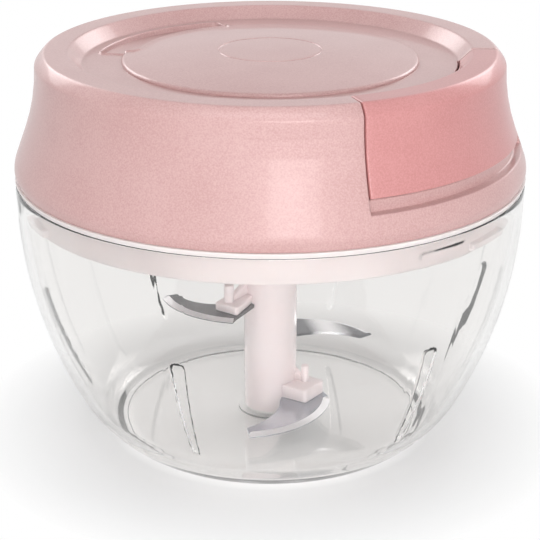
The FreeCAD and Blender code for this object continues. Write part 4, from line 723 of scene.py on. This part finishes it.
def blade_shape(azimuth, top, heel, hollow):
    """A sickle of strip steel: its plan outline at the underside, at the foot of the bevel and at the
    top face, where the outer arc is drawn in by the width of the bevel. The arc's centre stands square
    to the middle of its chord."""
    tip, edge_radius, bevel = (28.6, 0.0), 24, 1.8
    corners = [(*tip, edge_radius, 1)] + heel + [(8.0, 4.1, hollow, -1), (24.8, -1.46)]
    line = trace(corners, gap=0.8, turn=2.0)
    chord = np.array(heel[0]) - tip
    half = np.hypot(*chord) / 2
    across = np.array((-chord[1], chord[0])) / (2 * half)
    centre = (np.array(heel[0]) + tip) / 2 + across * math.sqrt(edge_radius ** 2 - half ** 2)
    from_centre = line - centre
    distance = np.hypot(*from_centre.T)
    on_edge = np.abs(distance - edge_radius) < 0.02
    inward = -from_centre / distance[:, None]
    inward[np.hypot(*(line - tip).T) < 0.01] = (-0.9, -0.1)  # back along the blade at its tip
    rings = [(line, top - STRIP), (line, top - np.where(on_edge, BEVEL_DROP, 0.02)),
             (line + inward * (bevel * on_edge)[:, None], top)]
    angle = math.radians(azimuth)
    turn = np.array([[math.cos(angle), math.sin(angle)], [-math.sin(angle), math.cos(angle)]])
    points = np.concatenate([np.column_stack([flat @ turn, np.broadcast_to(z, len(line))])
                             for flat, z in rings])
    index = np.arange(3 * len(line)).reshape(3, -1)
    around = np.roll(index, -1, 1)
    quads = np.stack([index[:-1], around[:-1], around[1:], index[1:]], -1).reshape(-1, 4).tolist()
    return points, quads + [index[0][::-1].tolist(), index[-1].tolist()]


def bevel_faces(made, top):
    """Gives the sloping faces between the top face and the cutting edge the second material."""
    mesh = made.data
    normals = np.zeros(len(mesh.polygons) * 3)
    mesh.polygons.foreach_get("normal", normals)
    middles = np.zeros(len(mesh.polygons) * 3)
    mesh.polygons.foreach_get("center", middles)
    rise, level = normals[2::3], middles[2::3] * 1000
    sloped = (rise > 0.3) & (rise < 0.99) & (level > top - BEVEL_DROP - 0.01)
    mesh.materials.append(BEVEL_GRIND_AND_SHEEN)
    mesh.polygons.foreach_set("material_index", sloped.astype(np.int32))


# Screws and cord

def recessed_screw(head, thick, shank, reach):
    """A pan-head screw with its head's face down: the face is a dome with a round edge, a cross with
    arms 0.8 mm wide is sunk in it by 1 mm and fades out past half of the head's radius, and the shank
    ends in a cone."""
    edge = np.radians([30, 60, 90])
    r = np.concatenate([np.linspace(0, head * 0.8, 17), head * (0.8 + 0.2 * np.sin(edge))])
    dome = np.concatenate([np.linspace(0, 0.12, 17) ** 2 * 8, thick * (0.12 + 0.3 * (1 - np.cos(edge)))])
    azimuths = np.arange(0, 360, 4.0)
    angle = np.radians(azimuths)[:, None]
    cross = 1 - smooth(np.minimum(np.abs(r * np.cos(angle)), np.abs(r * np.sin(angle))), 0.3, 0.5)
    sink = cross * (1 - smooth(r, head * 0.5, head * 0.66))
    face = np.stack([np.broadcast_to(r, sink.shape), dome + sink], -1)
    rest = np.array([(head, thick), (shank, thick), (shank, thick + reach - shank), (0, thick + reach)])
    profiles = np.concatenate([face, np.repeat(rest[None], len(azimuths), 0)], 1)
    return stood_round(azimuths, profiles, closed=False)


def wound_path():
    """3.75 turns on the drum: a helix that climbs 2.35 mm a turn and ends where the cord leaves."""
    turns = np.linspace(-3.75, 0, 541)
    angle = np.radians(CORD_LEAVES + 360 * turns)
    return np.stack([DRUM_RADIUS * np.cos(angle), DRUM_RADIUS * np.sin(angle),
                     CORD_HEIGHT + 2.35 * turns], 1)


def run_path():
    """Straight from the drum to the guide behind the handle, round it on an arc that touches both
    straights, and straight out to the knot. The arc starts its radius times the tangent of half the
    turn before the corner."""
    guide = 4.5
    leave = radial(DRUM_RADIUS, CORD_LEAVES, CORD_HEIGHT)
    corner, way_out = radial(43.0, HANDLE_AZIMUTH, CORD_HEIGHT), radial(1, HANDLE_AZIMUTH, 0)
    way_in = (corner - leave) / np.linalg.norm(corner - leave)
    swing = math.acos(float(way_in @ way_out))
    trim = guide * math.tan(swing / 2)
    first, last = corner - way_in * trim, corner + way_out * trim
    side_way = (way_out - way_in * math.cos(swing)) / math.sin(swing)
    turned = np.linspace(0, 1, 13)[:, None] * swing
    bend = first + guide * (np.sin(turned) * way_in + (1 - np.cos(turned)) * side_way)
    inner = leave + (first - leave) * np.linspace(0, 1, 30)[:-1, None]
    outer = last + (radial(49.6, HANDLE_AZIMUTH, CORD_HEIGHT) - last) * np.linspace(0, 1, 40)[1:, None]
    return np.concatenate([inner, bend, outer])


def knot_path():
    """A trefoil, (sin t + 2 sin 2t, cos t - 2 cos 2t, -sin 3t), drawn tight behind the handle's plate."""
    t = np.linspace(0, 2 * math.pi, 97)
    trefoil = np.stack([np.sin(t) + 2 * np.sin(2 * t), np.cos(t) - 2 * np.cos(2 * t), -np.sin(3 * t)], 1)
    axes = np.array([radial(1, HANDLE_AZIMUTH + 90, 0), (0, 0, 1), radial(1, HANDLE_AZIMUTH, 0)])
    return (trefoil * (0.38, 0.38, 0.55)) @ axes + radial(50.9, HANDLE_AZIMUTH, CORD_HEIGHT)


def cord_tube(name, path, stands_for, body):
    """The cord along a path, with the length and the turn of each point stored as its strand attribute."""
    sides = 14
    made = piece(name, tube(path, 0.9, sides), CORD, body, stands_for, 80)
    along = np.concatenate([[0], np.cumsum(np.linalg.norm(np.diff(path, axis=0), axis=1))])
    turn = np.linspace(0, 2 * math.pi, sides, endpoint=False)
    strand = np.zeros((len(path) * sides, 3))
    strand[:, 0] = np.repeat(along * 7.0, sides)
    strand[:, 1] = np.tile(turn, len(path))
    data = made.data.attributes.new("strand", "FLOAT_VECTOR", "POINT")
    data.data.foreach_set("vector", strand[: len(made.data.vertices)].ravel().astype(np.float32))
    return made


# The object's pieces

piece("clear_bowl", bowl_shape(), CLEAR, "bowl", ["bowl"], 30)
LID = piece("pearl_lid", lid_shape(), PEARL_LID, "lid", ["top_cover"], 30)
bored(LID, radius=1.66, start=radial(43.5, HANDLE_AZIMUTH, CORD_HEIGHT),
      stop=radial(48.5, HANDLE_AZIMUTH, CORD_HEIGHT))
piece("pull_handle", handle_shape(), PEARL_HANDLE, "handle", ["handle_shell"], 30)
piece("lid_skirt", inner_lid_shape(), SKIRT_PINK, "lid", ["inner_lid"])
piece("rim_seal", plain_ring([(61.5, 69.03), (64.75, 69.03), (64.75, 69.8), (65.1, 69.9), (65.1, 70.27),
                              (61.5, 70.27)], 0.08),
      SILICONE, "seal", ["seal_ring"])
piece("column_and_arms", column_shape(), COLUMN_PINK, "blades", ["blade_column"])
for level, (azimuth, top, *_) in LEVELS.items():
    blade = piece(level + "_sickle", blade_shape(azimuth, top, *HEELS[level]), BLADE_STEEL[level],
                  "blades", [level + "_blade"], 12)
    bevel_faces(blade, top)
piece("drive_plug", plain_ring([(0, 46), (3.6, 46), (4.6, 47), (4.6, 58.7), (9.3, 58.7), (9.3, 60),
                                (7.5, 60), (7.5, 70.4), (0, 70.4)], 0.3, 4.0, False),
      COLUMN_PINK, "spool", ["drive_coupler"])
lid_screws = [placed(recessed_screw(head=2.9, thick=1.8, shank=1.4, reach=14),
                     radial(39.5, 9 + 90 * number, 64.2)) for number in range(4)]
piece("lid_screw_set", together(lid_screws), ZINC_STEEL, "lid", ["lid_screws"])

cord_tube("wound_cord", wound_path(), ["cord_winding"], "spool")
RUN = cord_tube("pull_cord", run_path(), ["cord_run"], None)
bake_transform(RUN)
piece("cord_stop_knot", tube(knot_path(), 0.75, 12), CORD, "handle", ["cord_knot"], 80)

# nodes that keep their own shape
NODE_FINISHES = {
    "pivot_pin": ZINC_STEEL, "thrust_washer": ACETAL, "pivot_bush": BRASS, "cord_eyelet": ZINC_STEEL,
    "bearing_bush": ACETAL, "handle_back_plate": PEARL_HANDLE, "handle_screws": ZINC_STEEL,
    "spool": ACETAL, "spring_cover": ACETAL, "spindle_washer": ZINC_STEEL, "spindle_screw": ZINC_STEEL,
    "drive_pin": ZINC_STEEL, "hub_pin": ZINC_STEEL, "spiral_spring": SPRING_STEEL,
}
for node, finish in NODE_FINISHES.items():
    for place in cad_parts[node].material_slots:
        place.material = finish


# Studio

def seen_by_eye(tree):
    """1 for the camera, mirrors and what is seen through clear plastic, 0 for light on the object, also
    where that light comes through the bowl."""
    path = add(tree, "LightPath", {})
    seen = add(tree, "Math", {0: path.outputs["Is Camera Ray"], 1: path.outputs["Is Glossy Ray"]},
               operation="MAXIMUM")
    seen = add(tree, "Math", {0: seen.outputs[0], 1: path.outputs["Is Transmission Ray"]},
               operation="MAXIMUM")
    direct = add(tree, "Math", {0: path.outputs["Diffuse Depth"], 1: 0.5}, operation="LESS_THAN")
    return add(tree, "Math", {0: seen.outputs[0], 1: direct.outputs[0]}, operation="MULTIPLY").outputs[0]


def studio_floor():
    """Pale matt table. For the eye a faint glow brings its lit part up near white and leaves the object's
    soft shadow. The glow is painted light and shade by distance from the axis: stronger under the bowl's
    floor, a painted pool of light, and weak from 0.044 m out, a painted shadow ring round the foot; past
    0.08 m from the axis it is plain white."""
    material, tree = new_finish("studio_paper")
    seen = seen_by_eye(tree)
    place = add(tree, "TexCoord", {}).outputs["Object"]
    away = add(tree, "VectorMath", {0: place}, operation="LENGTH")
    # painted light and shade: glow 0.21 under the bowl's foot is a painted pool of light, and 0.03 past
    # 0.044 m is a painted shadow ring that fades into plain white between 0.049 and 0.08 m
    far = add(tree, "MapRange", {"Value": away.outputs["Value"], "From Min": 0.049, "From Max": 0.08})
    level = add(tree, "MapRange", {"Value": away.outputs["Value"], "From Min": 0.04, "From Max": 0.044,
                                   "To Min": 0.21, "To Max": 0.03})
    painted_floor_glow = add(tree, "Math", {0: seen, 1: level.outputs[0]}, operation="MULTIPLY")
    matt = add(tree, "BsdfDiffuse", {"Color": colour("#e6e6e6")})
    glow = add(tree, "Emission", {"Color": colour("#ffffff"), "Strength": painted_floor_glow.outputs[0]})
    near = add(tree, "AddShader", {0: matt.outputs[0], 1: glow.outputs[0]})
    white = add(tree, "Emission", {"Color": colour("#ffffff"), "Strength": 1.0})
    share = add(tree, "Math", {0: seen, 1: far.outputs[0]}, operation="MULTIPLY")
    both = add(tree, "MixShader", {0: share.outputs[0], 1: near.outputs[0], 2: white.outputs[0]})
    add(tree, "OutputMaterial", {"Surface": both.outputs[0]})
    mesh = bpy.data.meshes.new("studio_floor")
    mesh.from_pydata([(-6, -6, 0), (6, -6, 0), (6, 6, 0), (-6, 6, 0)], [], [(0, 1, 2, 3)])
    mesh.materials.append(material)
    floor = bpy.data.objects.new("studio_floor", mesh)
    bpy.context.scene.collection.objects.link(floor)


def studio_world():
    """Even pale room light, seen as white by the camera, by mirrors and through clear plastic."""
    world = bpy.data.worlds.new("studio")
    bpy.context.scene.world = world
    world.use_nodes = True
    tree = world.node_tree
    tree.nodes.clear()
    shade = add(tree, "Mix", {"Factor": seen_by_eye(tree), "A": (0.38, 0.38, 0.38, 1),
                              "B": (1, 1, 1, 1)}, data_type="RGBA")
    light = add(tree, "Background", {"Color": shade.outputs["Result"], "Strength": 1.0})
    add(tree, "OutputWorld", {"Surface": light.outputs[0]})


def softbox(name, azimuth, elevation, distance, width, height, power, spread=180, matt=True, gloss=True):
    """An area lamp on a sphere about the object's middle, facing it. A spread under 180 degrees, as of a
    softbox with a grid, gives its mirror image soft borders. A lamp can be for matt light or for gloss
    alone, so that the lid's top doesn't mirror the strongest one."""
    lamp = bpy.data.lights.new(name, "AREA")
    lamp.shape, lamp.size, lamp.size_y, lamp.energy = "RECTANGLE", width, height, power
    lamp.spread = math.radians(spread)
    made = bpy.data.objects.new(name, lamp)
    made.visible_diffuse, made.visible_glossy = matt, gloss
    a, e = math.radians(azimuth), math.radians(elevation)
    out = np.array((math.cos(a) * math.cos(e), math.sin(a) * math.cos(e), math.sin(e)))
    made.location = out * distance + (0, 0, 0.06)
    made.rotation_euler = (math.pi / 2 - e, 0, a + math.pi / 2)
    bpy.context.scene.collection.objects.link(made)


studio_floor()
studio_world()
softbox("front_window", -83, 10, 0.9, 1.2, 0.6, 1.7, 68, gloss=False)
softbox("front_gloss", -80, 17, 0.9, 0.34, 0.5, 0.2, 56, matt=False)
softbox("front_fill", -88, 10, 1.1, 1.4, 0.7, 4.6, gloss=False)
softbox("front_high", -94, 58, 1.0, 0.8, 0.25, 1.5)
softbox("left_back", 127, 27, 1.0, 0.7, 0.4, 0.34, 50)
softbox("right_back", 53, 27, 1.0, 0.7, 0.4, 0.34, 50)

camera = bpy.data.cameras.new("camera")
camera.sensor_width, camera.lens = 36.0, 110.31
camera.shift_x = -0.00056
stand = bpy.data.objects.new("camera", camera)
stand.location = (0.0, -0.40755, 0.1975)
stand.rotation_euler = (math.radians(69.09), 0, 0)
bpy.context.scene.collection.objects.link(stand)
bpy.context.scene.camera = stand
bpy.context.scene.view_settings.view_transform = "Standard"
